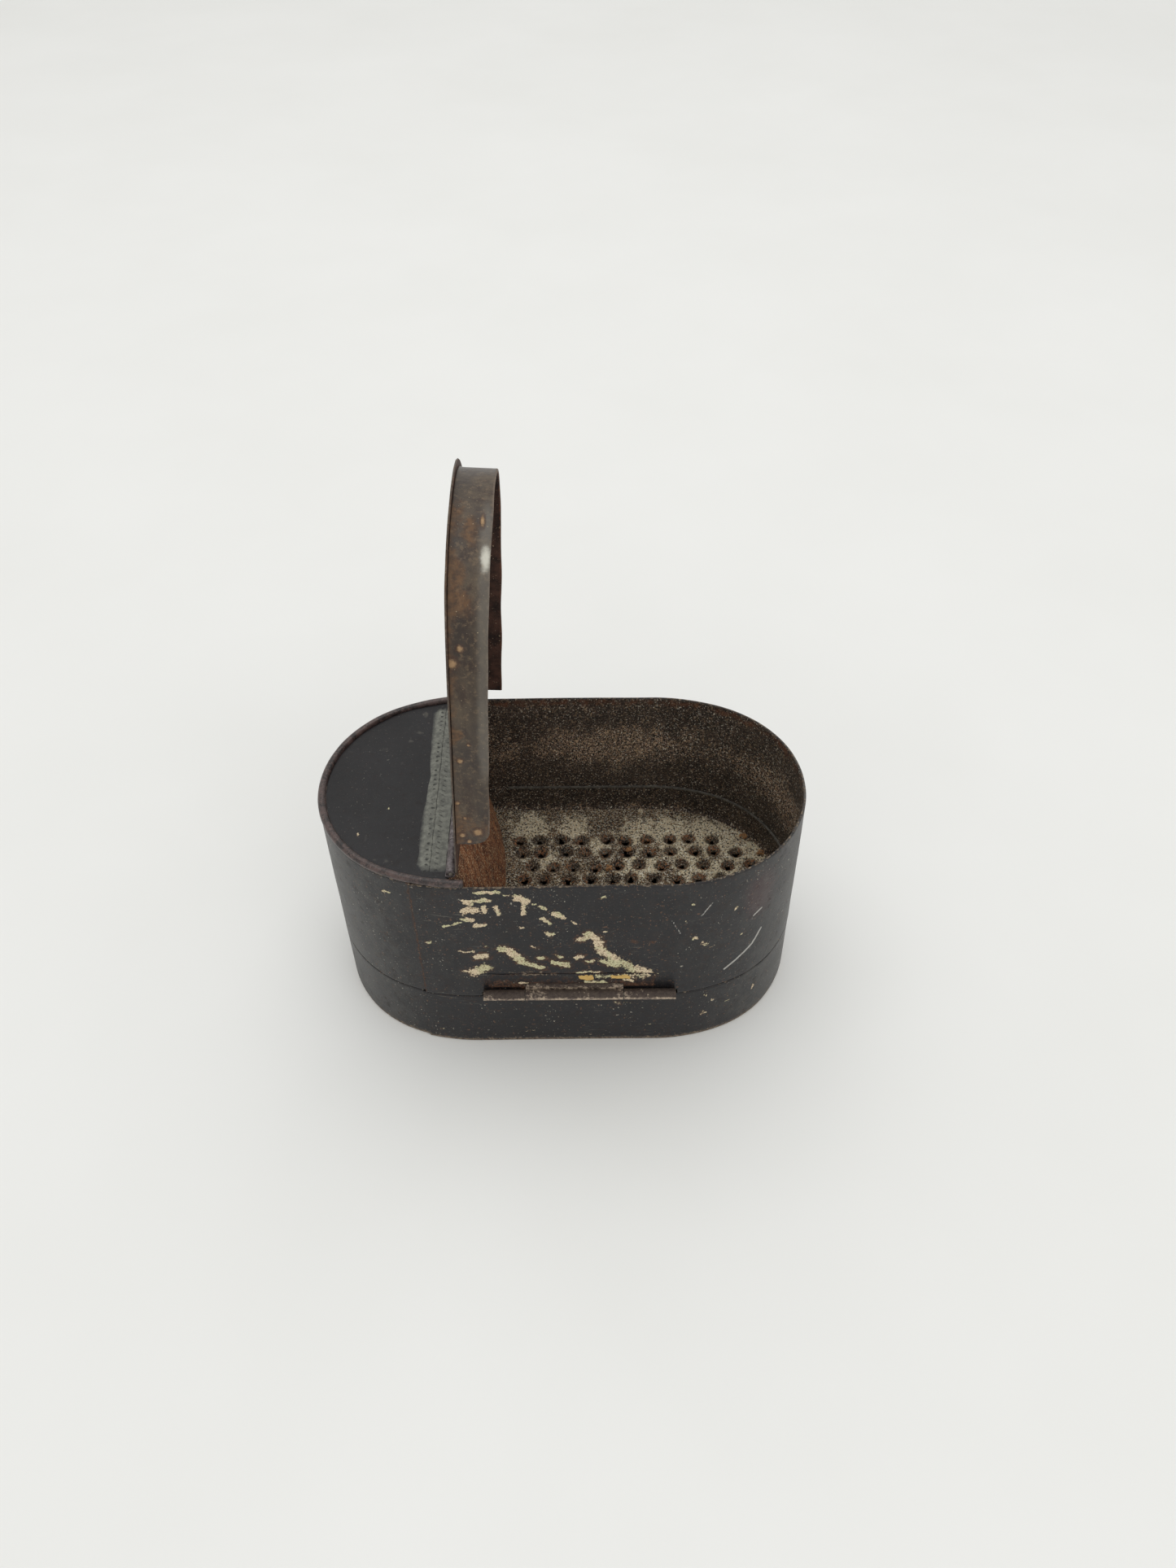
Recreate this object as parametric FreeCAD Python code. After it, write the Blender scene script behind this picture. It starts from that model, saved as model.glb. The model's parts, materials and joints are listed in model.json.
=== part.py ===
import FreeCAD, Part
import math
import os

# Japanned tinplate nutmeg grater. A shallow tray stands on the table. The case is hinged to the tray's
# front edge and tips forwards off it, which bares the rasp under the case. A lid closes the right-hand
# chamber. Millimetres. +X runs along the case towards the lid's free end, +Y away from the tray's
# hinge, +Z up. The origin is on the table, under the middle of the tray.

Vec = FreeCAD.Vector
X_AXIS = Vec(1, 0, 0)
Y_AXIS = Vec(0, 1, 0)
Z_AXIS = Vec(0, 0, 1)

# Driving dimensions
LENGTH = 70.0
WIDTH = 37.8
CASE_TOP = 37.2
TRAY_HEIGHT = 12.0
SPLIT_GAP = 0.15            # air between the tray's edge and the case's edge
STRAIGHT_HALF = 13.2        # the long sides are straight as far as this from the middle
NOSE_RADIUS = 18.2
WALL = 0.4                  # sheet of the two walls
SHEET = 0.35                # sheet of the flat pieces
LEAF = 0.25                 # sheet of the hinge leaves
CUT = 60.0                  # bigger than any piece: the size of trimming boxes

# Lid and its hinge
LID_AXIS_X = -14.9
LID_BARREL = 0.65
LID_PIN = 0.30
LID_AXIS_Z = CASE_TOP + SHEET + LID_BARREL
LID_BARREL_HALF = 17.3      # the barrel's half length along Y
LID_KNUCKLE_HALF = 11.4     # half length of the lid's own knuckle
LID_OPEN_ANGLE = 86.8       # the lid stands this far open at rest
LID_TIP = 0.1               # the lid's free edge overhangs the case by this much
LID_EDGE_INSET = 0.1        # the lid is this much narrower than the case, all round
LID_LEAF_WIDTH = 4.0
SKIRT_DEPTH = 4.4
SKIRT_INSET = 0.65
SKIRT_NOSE_SHIFT = -0.25    # the skirt's round end stands this much further in, for easy closing
SKIRT_BACK_START = -13.3
SKIRT_FRONT_START = -7.6
SKIRT_CORNER = 2.2          # rounding of the skirt's front corner
HINGE_EDGE_GAP = 0.35       # lid and cover sheets both stop this far from the hinge axis
KNUCKLE_GAP = 0.12
PIN_CLEARANCE = 0.05
COVER_LEAF_LEFT = -20.0
COVER_LEAF_RIGHT = -15.8
COVER_LEAF_HALF = 16.3      # half length of its flat strip, which stops inside the rolled rim

# Tray hinge, along the front
BASE_BARREL = 0.80
BASE_PIN = 0.40
BARREL_GAP = 0.05           # between the barrel and the case's wall
BASE_AXIS_Y = -WIDTH / 2 - BASE_BARREL - BARREL_GAP
BASE_AXIS_Z = 13.5
BASE_HINGE_LEFT = -12.0
BASE_HINGE_RIGHT = 16.2
BASE_KNUCKLE_LEFT = -5.8    # the case's knuckle fills the middle, from here
BASE_KNUCKLE_RIGHT = 8.5    # to here
CASE_LEAF_LEFT = -11.2
CASE_LEAF_RIGHT = 13.0
CASE_LEAF_LOW = 15.1
CASE_LEAF_TOP = 17.5
TRAY_LEAF_DEPTH = 4.2
HINGE_NOTCH = 0.9           # height of the notch in the case's edge over the tray's leaf
NOTCH_CLEARANCE = 0.3       # from the leaf's ends to the notch's ends

# Rasp
PLATE_Z = 12.45             # underside of the plate
PLATE_FLANGE = 5.15         # height of its turned-up edge
HOLE_PITCH_X = 3.5
HOLE_PITCH_Y = 2.8
HOLE_RADIUS = 0.42
DIMPLE_RADIUS = 1.1
DIMPLE_DEPTH = 0.8
DIMPLE_MARGIN = 2.6         # from the case's wall to the nearest dimple's middle
DIMPLE_FROM_FOOT = 1.6      # from the partition's foot to the nearest dimple's middle
BURR_WALL = 0.22
ROWS_EACH_WAY = 4
COLUMNS = range(-6, 10)
PLATE_PAST_FOOT = 1.2       # the plate's left edge is this far past the partition's foot

# Partition between the two chambers
PARTITION_TOP_X = -15.6
PARTITION_FOOT_X = -9.7     # the foot's furthest point, in the middle
PARTITION_FOOT_BOW = 3.2    # how much further left the foot is at the walls
WALL_CLEARANCE = 0.05       # between the partition and the case's wall
PARTITION_HALF = WIDTH / 2 - WALL - WALL_CLEARANCE

# Rolled rim of the fixed cover, seams and solder
RIM_RADIUS = 0.6
RIM_INSET = 0.45            # from the wall's face to the rolled edge's middle
RIM_Z = CASE_TOP + 0.4
RIM_CLEARANCE = 0.25        # from the rolled edge to the lid, along Y
RIM_END_CLEARANCE = 0.4     # from the rolled edge's end to the lid, along X
SEAM_X = -20.7
SEAM_LAP = 3.2
SEAM_SHEET = 0.25
SEAM_SHORT = 0.2            # the lap stops this far short of other pieces
SEAM_BEYOND = 0.6           # the lap runs this far past the seam line
SEAM_GROOVE = 0.12
TRAY_FLANGE = 2.4
SOLDER = 0.7
THIN_SOLDER = 0.3
SOLDER_SHORT = 1.2          # the partition's solder stops this far short of the walls


def side_radius():
    """Radius of the long arc that is tangent to the straight side and to the nose."""
    run = LENGTH / 2 - NOSE_RADIUS - STRAIGHT_HALF
    half = WIDTH / 2
    return (run ** 2 + half ** 2 - NOSE_RADIUS ** 2) / (2 * (half - NOSE_RADIUS))


def nose_points(inset, shift, side):
    """Points round one end of the outline, from the front side to the back: each arc's ends and middle."""
    big = side_radius()
    corner = Vec(STRAIGHT_HALF, WIDTH / 2 - big, 0)
    nose = Vec(LENGTH / 2 - NOSE_RADIUS, 0, 0)
    join = math.atan2(nose.y - corner.y, nose.x - corner.x)
    half_way = (join + math.pi / 2) / 2

    def on(centre, radius, angle, mirror):
        x = centre.x + (radius - inset) * math.cos(angle) + shift
        y = centre.y + (radius - inset) * math.sin(angle)
        return Vec(side * x, mirror * y, 0)

    front = [on(corner, big, a, -1) for a in (math.pi / 2, half_way, join)]
    back = [on(corner, big, a, 1) for a in (join, half_way, math.pi / 2)]
    return front + [on(nose, NOSE_RADIUS, 0, 1)] + back


def nose_edges(inset, shift=0.0, side=1):
    """The three tangent arcs of one end."""
    p = nose_points(inset, shift, side)
    runs = (p[0:3], p[2:5], p[4:7])
    return [Part.Arc(*run).toShape() for run in runs]


def plan_face(inset, nose_shift=0.0):
    """The case's outline in plan, moved in by inset, with its right-hand end moved along X."""
    right = nose_points(inset, nose_shift, 1)
    left = nose_points(inset, 0.0, -1)
    edges = nose_edges(inset, nose_shift, 1) + nose_edges(inset, 0.0, -1)
    edges.append(Part.makeLine(left[0], right[0]))
    edges.append(Part.makeLine(left[-1], right[-1]))
    return Part.Face(Part.Wire(Part.__sortEdges__(edges)))


def slab(inset, low, high, nose_shift=0.0):
    face = plan_face(inset, nose_shift)
    face.translate(Vec(0, 0, low))
    return face.extrude(Vec(0, 0, high - low))


def ring(inset, thickness, low, high, nose_shift=0.0):
    """An upright band of sheet that follows the outline."""
    hole = slab(inset + thickness, low - 1, high + 1, nose_shift)
    return slab(inset, low, high, nose_shift).cut(hole)


def block(x0, x1, y0, y1, z0, z1):
    return Part.makeBox(x1 - x0, y1 - y0, z1 - z0, Vec(x0, y0, z0))


def rod(radius, start, direction, length):
    return Part.makeCylinder(radius, length, start, direction)


def right_of(x):
    return block(x, x + 2 * CUT, -CUT, CUT, -CUT, CUT)


def left_of(x):
    return block(x - 2 * CUT, x, -CUT, CUT, -CUT, CUT)


def solder_ring(inset, low, size=SOLDER, nose_shift=0.0):
    """A fillet of solder in the corner between an upright band and the sheet under it."""
    outer = plan_face(inset, nose_shift).OuterWire
    inner = plan_face(inset + size, nose_shift).OuterWire
    top = outer.copy()
    outer.translate(Vec(0, 0, low))
    inner.translate(Vec(0, 0, low))
    top.translate(Vec(0, 0, low + size))
    wedge = Part.makeLoft([inner, top], True, True)
    return slab(inset, low, low + size, nose_shift).cut(wedge)


def seam_strip(low, high):
    """The part of a wall's sheet that laps behind its own end, on the front left."""
    band = ring(WALL, SEAM_SHEET, low, high)
    lap = block(SEAM_X - SEAM_LAP, SEAM_X + SEAM_BEYOND, -CUT, 0, low, high)
    return band.common(lap)


def seam_groove(low, high):
    """The line that the lapped end leaves on the outside of a wall."""
    slot = block(SEAM_X, SEAM_X + SEAM_GROOVE, -CUT, 0, low, high)
    return slot.common(ring(-1.0, 1.0 + WALL / 2, low, high))


# Tray

def tray_wall():
    wall = ring(0, WALL, 0, TRAY_HEIGHT)
    return wall.cut(seam_groove(-1, TRAY_HEIGHT + 1))


def tray_bottom():
    floor = slab(WALL, 0, SHEET)
    return floor.fuse(ring(WALL, SHEET, SHEET, TRAY_FLANGE)).removeSplitter()


def tray_solder():
    return solder_ring(WALL + SHEET, SHEET)


def tray_hinge_leaf():
    """Leaf inside the tray's front wall, folded over its edge and up into the two outer knuckles."""
    inner_y = -WIDTH / 2 + WALL
    outer_y = BASE_AXIS_Y + BASE_BARREL
    over = TRAY_HEIGHT + LEAF
    low = TRAY_HEIGHT - TRAY_LEAF_DEPTH
    shape = block(BASE_HINGE_LEFT, STRAIGHT_HALF, inner_y, inner_y + LEAF, low, over)
    for x0, x1 in outer_base_knuckles():
        fold = block(x0, x1, outer_y - LEAF, inner_y + LEAF, TRAY_HEIGHT, over)
        rise = block(x0, x1, outer_y - LEAF, outer_y, TRAY_HEIGHT, BASE_AXIS_Z)
        barrel = rod(BASE_BARREL, Vec(x0, BASE_AXIS_Y, BASE_AXIS_Z), X_AXIS, x1 - x0)
        shape = shape.fuse([fold, rise, barrel])
    bore = rod(BASE_PIN, Vec(-CUT, BASE_AXIS_Y, BASE_AXIS_Z), X_AXIS, 2 * CUT)
    middle = block(BASE_KNUCKLE_LEFT, BASE_KNUCKLE_RIGHT, -CUT, CUT, TRAY_HEIGHT, over + 1)
    return shape.cut([bore, middle]).removeSplitter()


def outer_base_knuckles():
    left = (BASE_HINGE_LEFT, BASE_KNUCKLE_LEFT - KNUCKLE_GAP)
    right = (BASE_KNUCKLE_RIGHT + KNUCKLE_GAP, BASE_HINGE_RIGHT)
    return (left, right)


def base_hinge_pin():
    length = BASE_HINGE_RIGHT - BASE_HINGE_LEFT
    return rod(BASE_PIN, Vec(BASE_HINGE_LEFT, BASE_AXIS_Y, BASE_AXIS_Z), X_AXIS, length)


# Case

def case_wall():
    low = TRAY_HEIGHT + SPLIT_GAP
    wall = ring(0, WALL, low, CASE_TOP)
    left = BASE_HINGE_LEFT - NOTCH_CLEARANCE
    right = BASE_HINGE_RIGHT + NOTCH_CLEARANCE
    notch = block(left, right, -CUT, 0, low - 1, low + HINGE_NOTCH)
    return wall.cut([seam_groove(low - 1, CASE_TOP + 1), notch])


def fixed_cover():
    return slab(WALL, CASE_TOP, CASE_TOP + SHEET).common(left_of(LID_AXIS_X - HINGE_EDGE_GAP))


def cover_rim():
    """Edge of the fixed cover, rolled round a wire over the top of the wall."""
    path = Part.Wire(nose_edges(RIM_INSET, 0.0, -1))
    path.translate(Vec(0, 0, RIM_Z))
    start = path.OrderedVertexes[0].Point
    circle = Part.Wire(Part.Circle(start, X_AXIS, RIM_RADIUS).toShape())
    bead = path.makePipeShell([circle], True, False)
    inside = slab(WALL, RIM_Z - 1, CASE_TOP + SHEET)
    return bead.cut([case_wall(), inside])


def cover_solder():
    """Solder in the corner under the fixed cover, round its curved end."""
    fillet = solder_ring(WALL, 0.0)
    fillet = fillet.mirror(Vec(0, 0, 0), Z_AXIS)
    fillet.translate(Vec(0, 0, CASE_TOP))
    return fillet.common(left_of(PARTITION_TOP_X - SHEET - WALL_CLEARANCE))


def cover_hinge_leaf():
    """Strip along the hinge on top of the fixed cover, rolled into the barrel's two outer knuckles."""
    top = CASE_TOP + SHEET
    half = COVER_LEAF_HALF
    strip = block(COVER_LEAF_LEFT, COVER_LEAF_RIGHT, -half, half, top, top + LEAF)
    pieces = []
    for y0, y1 in outer_lid_knuckles():
        pieces.append(block(COVER_LEAF_RIGHT, LID_AXIS_X, y0, y1, top, top + LEAF))
        pieces.append(rod(LID_BARREL, Vec(LID_AXIS_X, y0, LID_AXIS_Z), Y_AXIS, y1 - y0))
    bore = rod(LID_PIN, Vec(LID_AXIS_X, -CUT, LID_AXIS_Z), Y_AXIS, 2 * CUT)
    return strip.fuse(pieces).cut(bore).removeSplitter()


def outer_lid_knuckles():
    inner = LID_KNUCKLE_HALF + KNUCKLE_GAP
    return ((-LID_BARREL_HALF, -inner), (inner, LID_BARREL_HALF))


def lid_hinge_pin():
    return rod(LID_PIN, Vec(LID_AXIS_X, -LID_BARREL_HALF, LID_AXIS_Z), Y_AXIS, 2 * LID_BARREL_HALF)


def case_hinge_leaf():
    """Leaf on the outside of the case, with the middle knuckle of the tray's hinge."""
    face = -WIDTH / 2
    barrel_start = Vec(BASE_KNUCKLE_LEFT, BASE_AXIS_Y, BASE_AXIS_Z)
    width = BASE_KNUCKLE_RIGHT - BASE_KNUCKLE_LEFT
    plate = block(CASE_LEAF_LEFT, CASE_LEAF_RIGHT, face - LEAF, face, CASE_LEAF_LOW, CASE_LEAF_TOP)
    tab = block(BASE_KNUCKLE_LEFT, BASE_KNUCKLE_RIGHT, face - LEAF, face, BASE_AXIS_Z, CASE_LEAF_TOP)
    barrel = rod(BASE_BARREL, barrel_start, X_AXIS, width)
    bore = rod(BASE_PIN + PIN_CLEARANCE, barrel_start, X_AXIS, width)
    return plate.fuse([tab, barrel]).cut(bore).removeSplitter()


def partition():
    """Bowed sheet between the chambers: straight under the hinge, curved where it meets the plate."""
    foot_z = PLATE_Z + SHEET
    top = Part.makePolygon([
        Vec(PARTITION_TOP_X, -PARTITION_HALF, CASE_TOP),
        Vec(PARTITION_TOP_X, PARTITION_HALF, CASE_TOP),
        Vec(PARTITION_TOP_X - SHEET, PARTITION_HALF, CASE_TOP),
        Vec(PARTITION_TOP_X - SHEET, -PARTITION_HALF, CASE_TOP),
        Vec(PARTITION_TOP_X, -PARTITION_HALF, CASE_TOP),
    ])
    foot = foot_wire(PARTITION_FOOT_X, foot_z)
    sheet = Part.makeLoft([top, foot], True, True)
    flange = ring(0, WALL + SHEET, foot_z, PLATE_Z + PLATE_FLANGE)
    return sheet.common(slab(WALL + WALL_CLEARANCE, foot_z, CASE_TOP)).cut(flange)


def foot_wire(bow_x, z):
    """The foot's closed outline: two bowed edges one sheet apart, joined at their ends."""
    end_x = bow_x - PARTITION_FOOT_BOW
    right = [Vec(end_x, -PARTITION_HALF, z), Vec(bow_x, 0, z), Vec(end_x, PARTITION_HALF, z)]
    left = [p - Vec(SHEET, 0, 0) for p in right]
    edges = [
        Part.Arc(*right).toShape(),
        Part.makeLine(right[2], left[2]),
        Part.Arc(left[2], left[1], left[0]).toShape(),
        Part.makeLine(left[0], right[0]),
    ]
    return Part.Wire(edges)


def plate_edge():
    """A tall block that lies right of the plate's left edge, which runs just past the partition's foot."""
    edge_x = PARTITION_FOOT_X - PLATE_PAST_FOOT
    edge = Part.Face(foot_wire(edge_x, -CUT))
    strip = edge.extrude(Vec(0, 0, 2 * CUT))
    half = PARTITION_HALF
    beyond = block(edge_x - PARTITION_FOOT_BOW, CUT, -half, half, -CUT, CUT)
    solids = beyond.cut(strip).Solids
    return max(solids, key=lambda s: s.CenterOfMass.x)


def dimple_places():
    """Middles of the rasp's punched holes, in staggered rows that keep clear of the walls and the foot."""
    room = plan_face(WALL + DIMPLE_MARGIN)
    places = []
    for row in range(-ROWS_EACH_WAY, ROWS_EACH_WAY + 1):
        y = row * HOLE_PITCH_Y
        stagger = HOLE_PITCH_X / 2 if row % 2 else 0.0
        for column in COLUMNS:
            x = column * HOLE_PITCH_X + stagger
            foot_x = PARTITION_FOOT_X - PARTITION_FOOT_BOW * (y / PARTITION_HALF) ** 2
            if x > foot_x + DIMPLE_FROM_FOOT and room.isInside(Vec(x, y, 0), 0.01, True):
                places.append(Vec(x, y, PLATE_Z))
    return places


def grater_plate():
    """Rasp plate with a turned-up edge. Each hole is punched downwards and leaves a raised burr below."""
    sheet = slab(WALL, PLATE_Z, PLATE_Z + SHEET)
    flange = ring(WALL, SHEET, PLATE_Z, PLATE_Z + PLATE_FLANGE)
    dish = sheet.fuse(flange).common(plate_edge()).removeSplitter()
    burrs = []
    dents = []
    for place in dimple_places():
        low = place - Vec(0, 0, DIMPLE_DEPTH)
        burrs.append(Part.makeCone(HOLE_RADIUS + BURR_WALL, DIMPLE_RADIUS, DIMPLE_DEPTH, low))
        mouth = DIMPLE_DEPTH + SHEET
        dents.append(Part.makeCone(HOLE_RADIUS, DIMPLE_RADIUS, mouth, low))
    return dish.fuse(burrs).cut(dents)


def grater_solder():
    """Line of solder along the top of the plate's turned-up edge."""
    low = PLATE_Z + PLATE_FLANGE
    return ring(WALL, THIN_SOLDER, low, low + THIN_SOLDER).common(right_of(PARTITION_FOOT_X))


def partition_solder():
    """Solder behind the partition's top edge, under the fixed cover."""
    x = PARTITION_TOP_X - SHEET
    corners = [Vec(x, 0, CASE_TOP), Vec(x - SOLDER, 0, CASE_TOP), Vec(x, 0, CASE_TOP - SOLDER)]
    wedge = Part.Face(Part.makePolygon(corners + corners[:1]))
    half = PARTITION_HALF - SOLDER_SHORT
    wedge.translate(Vec(0, -half, 0))
    bar = wedge.extrude(Vec(0, 2 * half, 0))
    return bar.cut(partition())


# Lid, drawn closed and then swung open

def opened(shape):
    turned = shape.copy()
    turned.rotate(Vec(LID_AXIS_X, 0, LID_AXIS_Z), Y_AXIS, -LID_OPEN_ANGLE)
    return turned


def lid_plate():
    plate = slab(LID_EDGE_INSET, CASE_TOP, CASE_TOP + SHEET, LID_TIP + LID_EDGE_INSET)
    plate = plate.common(right_of(LID_AXIS_X + HINGE_EDGE_GAP))
    end = -STRAIGHT_HALF + RIM_END_CLEARANCE
    clear = WIDTH / 2 - RIM_INSET - RIM_RADIUS - RIM_CLEARANCE
    for y0, y1 in ((-CUT, -clear), (clear, CUT)):
        plate = plate.cut(block(-CUT, end, y0, y1, 0, CUT))
    return plate


def skirt_room():
    """The space that the skirt fills along the lid: short at the front, with a rounded corner."""
    low = CASE_TOP - SKIRT_DEPTH
    back = block(SKIRT_BACK_START, CUT, 0, CUT, low, CASE_TOP)
    front = block(SKIRT_FRONT_START, CUT, -CUT, 0, low, CASE_TOP)
    corner = [e for e in front.Edges if is_skirt_corner(e, low)]
    return back.fuse(front.makeFillet(SKIRT_CORNER, corner))


def is_skirt_corner(edge, low):
    box = edge.BoundBox
    at_start = abs(box.XMax - SKIRT_FRONT_START) < 0.01
    return at_start and abs(box.ZMax - low) < 0.01


def lid_skirt():
    band = ring(SKIRT_INSET, SHEET, CASE_TOP - SKIRT_DEPTH, CASE_TOP, SKIRT_NOSE_SHIFT)
    return band.common(skirt_room())


def lid_skirt_solder():
    fillet = solder_ring(SKIRT_INSET + SHEET, 0.0, SOLDER, SKIRT_NOSE_SHIFT)
    fillet = fillet.mirror(Vec(0, 0, 0), Z_AXIS)
    fillet.translate(Vec(0, 0, CASE_TOP))
    return fillet.common(skirt_room())


def lid_hinge_leaf():
    """Leaf on top of the lid, rolled into the hinge's long middle knuckle."""
    top = CASE_TOP + SHEET
    half = LID_KNUCKLE_HALF
    leaf = block(LID_AXIS_X, LID_AXIS_X + LID_LEAF_WIDTH, -half, half, top, top + LEAF)
    start = Vec(LID_AXIS_X, -half, LID_AXIS_Z)
    barrel = rod(LID_BARREL, start, Y_AXIS, 2 * half)
    bore = rod(LID_PIN + PIN_CLEARANCE, start, Y_AXIS, 2 * half)
    return leaf.fuse(barrel).cut(bore).removeSplitter()


PIECES = {
    "tray_wall": tray_wall,
    "tray_bottom": tray_bottom,
    "tray_solder": tray_solder,
    "tray_hinge_leaf": tray_hinge_leaf,
    "base_hinge_pin": base_hinge_pin,
    "case_wall": case_wall,
    "fixed_cover": fixed_cover,
    "cover_rim": cover_rim,
    "cover_solder": cover_solder,
    "cover_hinge_leaf": cover_hinge_leaf,
    "lid_hinge_pin": lid_hinge_pin,
    "case_hinge_leaf": case_hinge_leaf,
    "partition": partition,
    "partition_solder": partition_solder,
    "grater_plate": grater_plate,
    "grater_solder": grater_solder,
}

SEAM_STRIPS = {
    "tray_seam_strip": (TRAY_FLANGE + SEAM_SHORT, TRAY_HEIGHT - SEAM_SHORT),
    "case_seam_strip": (PLATE_Z + PLATE_FLANGE + SOLDER, CASE_TOP - SOLDER - SEAM_SHORT),
}

LID_PIECES = {
    "lid_plate": lid_plate,
    "lid_skirt": lid_skirt,
    "lid_skirt_solder": lid_skirt_solder,
    "lid_hinge_leaf": lid_hinge_leaf,
}


def all_shapes():
    shapes = {name: make() for name, make in PIECES.items()}
    for name, (low, high) in SEAM_STRIPS.items():
        shapes[name] = seam_strip(low, high)
    for name, make in LID_PIECES.items():
        shapes[name] = opened(make())
    return shapes


def main():
    os.makedirs("parts", exist_ok=True)
    for name, shape in all_shapes().items():
        box = shape.BoundBox
        size = f"{box.XLength:.1f} x {box.YLength:.1f} x {box.ZLength:.1f}"
        print(f"{name}: {len(shape.Solids)} solid, {shape.Volume:.1f} mm3, {size}, valid {shape.isValid()}")
        shape.exportStep(f"parts/{name}.step")


main()
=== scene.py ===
import json
import math
import random

import bmesh
import bpy
import numpy as np
from mathutils import Matrix, Vector, noise


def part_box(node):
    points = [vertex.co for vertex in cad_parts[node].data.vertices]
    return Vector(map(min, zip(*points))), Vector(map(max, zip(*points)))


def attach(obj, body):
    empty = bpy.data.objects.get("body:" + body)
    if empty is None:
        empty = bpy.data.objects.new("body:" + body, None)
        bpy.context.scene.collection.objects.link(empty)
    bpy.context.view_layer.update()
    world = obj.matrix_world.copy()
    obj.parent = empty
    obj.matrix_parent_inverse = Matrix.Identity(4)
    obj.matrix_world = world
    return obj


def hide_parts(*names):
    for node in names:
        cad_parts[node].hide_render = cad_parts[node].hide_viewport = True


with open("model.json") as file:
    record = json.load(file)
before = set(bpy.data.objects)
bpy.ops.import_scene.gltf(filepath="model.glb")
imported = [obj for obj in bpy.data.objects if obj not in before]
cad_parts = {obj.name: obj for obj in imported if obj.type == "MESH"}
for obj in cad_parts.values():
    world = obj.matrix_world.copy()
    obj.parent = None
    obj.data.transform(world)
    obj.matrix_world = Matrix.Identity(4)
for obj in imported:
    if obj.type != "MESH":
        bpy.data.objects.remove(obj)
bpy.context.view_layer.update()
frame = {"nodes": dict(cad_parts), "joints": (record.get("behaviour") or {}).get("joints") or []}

# Shapes are worked out in millimetres, as in the CAD, and become metres when a mesh is made.
MM = 0.001


def box_mm(node):
    """The lowest and the highest corner of a CAD node."""
    low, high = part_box(node)
    return np.array(low) / MM, np.array(high) / MM


WALL_LOW, WALL_HIGH = box_mm("case_wall")
COVER_LOW, COVER_HIGH = box_mm("fixed_cover")
HALF_LENGTH, HALF_WIDTH, CASE_TOP = WALL_HIGH
CASE_FOOT = WALL_LOW[2]
TRAY_TOP = box_mm("tray_wall")[1][2]
FLANGE_TOP = box_mm("grater_plate")[1][2]

JOINTS = {joint["name"]: joint for joint in frame["joints"]}
LID_AXIS = np.array(JOINTS["lid_hinge"]["pos_m"]) / MM
BASE_AXIS = np.array(JOINTS["case_tilt"]["pos_m"]) / MM
LID_OPEN = math.radians(JOINTS["lid_hinge"]["range_deg"][1])

# Sizes taken from the CAD, which the boxes of its nodes don't give
STRAIGHT_HALF = 13.2           # the long sides are straight as far as this from the middle
NOSE_RADIUS = 18.2
WALL = 0.4
SHEET = 0.35
LEAF = 0.25
LID_BARREL = 0.65
BASE_BARREL = 0.80
LID_KNUCKLE_HALF = 11.4
LID_BARREL_HALF = 17.3
KNUCKLE_GAP = 0.12
CASE_KNUCKLE = (-5.8, 8.5)     # ends of the front hinge's middle knuckle
NOTCH = (-12.3, 16.5)          # ends of the notch in the case's wall, over the front hinge
NOTCH_HEIGHT = 0.9
HINGE_EDGE_GAP = 0.35          # the lid's sheet stops this far from the hinge's axis
SKIRT_DEPTH = 4.4
SKIRT_FRONT_START = -7.6
SKIRT_BACK_START = -13.3
SKIRT_CORNER = 2.2
FLANGE_HEIGHT = 5.15
PARTITION_TOP_X = -15.6
FOOT_BOW = 3.2                 # the partition's foot is this much further left at the walls
HOLE_PITCH_X = 3.5
HOLE_PITCH_Y = 2.8

# Sizes that are only here
SEAM_X = -20.7                 # the lapped end of the walls' sheets
EDGE = 0.04                    # stations this close together make a sharp step
RIM_INSET = 0.45
RIM_Z = CASE_TOP + 0.4
STRIP_HALF = 16.6              # half the length of the strip along the lid's hinge
STRIP_RIGHT = -15.7
PLATE_TOP = FLANGE_TOP - FLANGE_HEIGHT + SHEET
PLATE_EDGE_X = -10.9

# The outline in plan has straight sides, wide arcs and round ends
NOSE_X = HALF_LENGTH - NOSE_RADIUS
ARC_RUN = NOSE_X - STRAIGHT_HALF
ARC_RADIUS = (ARC_RUN ** 2 + HALF_WIDTH ** 2 - NOSE_RADIUS ** 2) / (2 * (HALF_WIDTH - NOSE_RADIUS))
ARC_DROP = ARC_RADIUS - HALF_WIDTH


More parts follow.
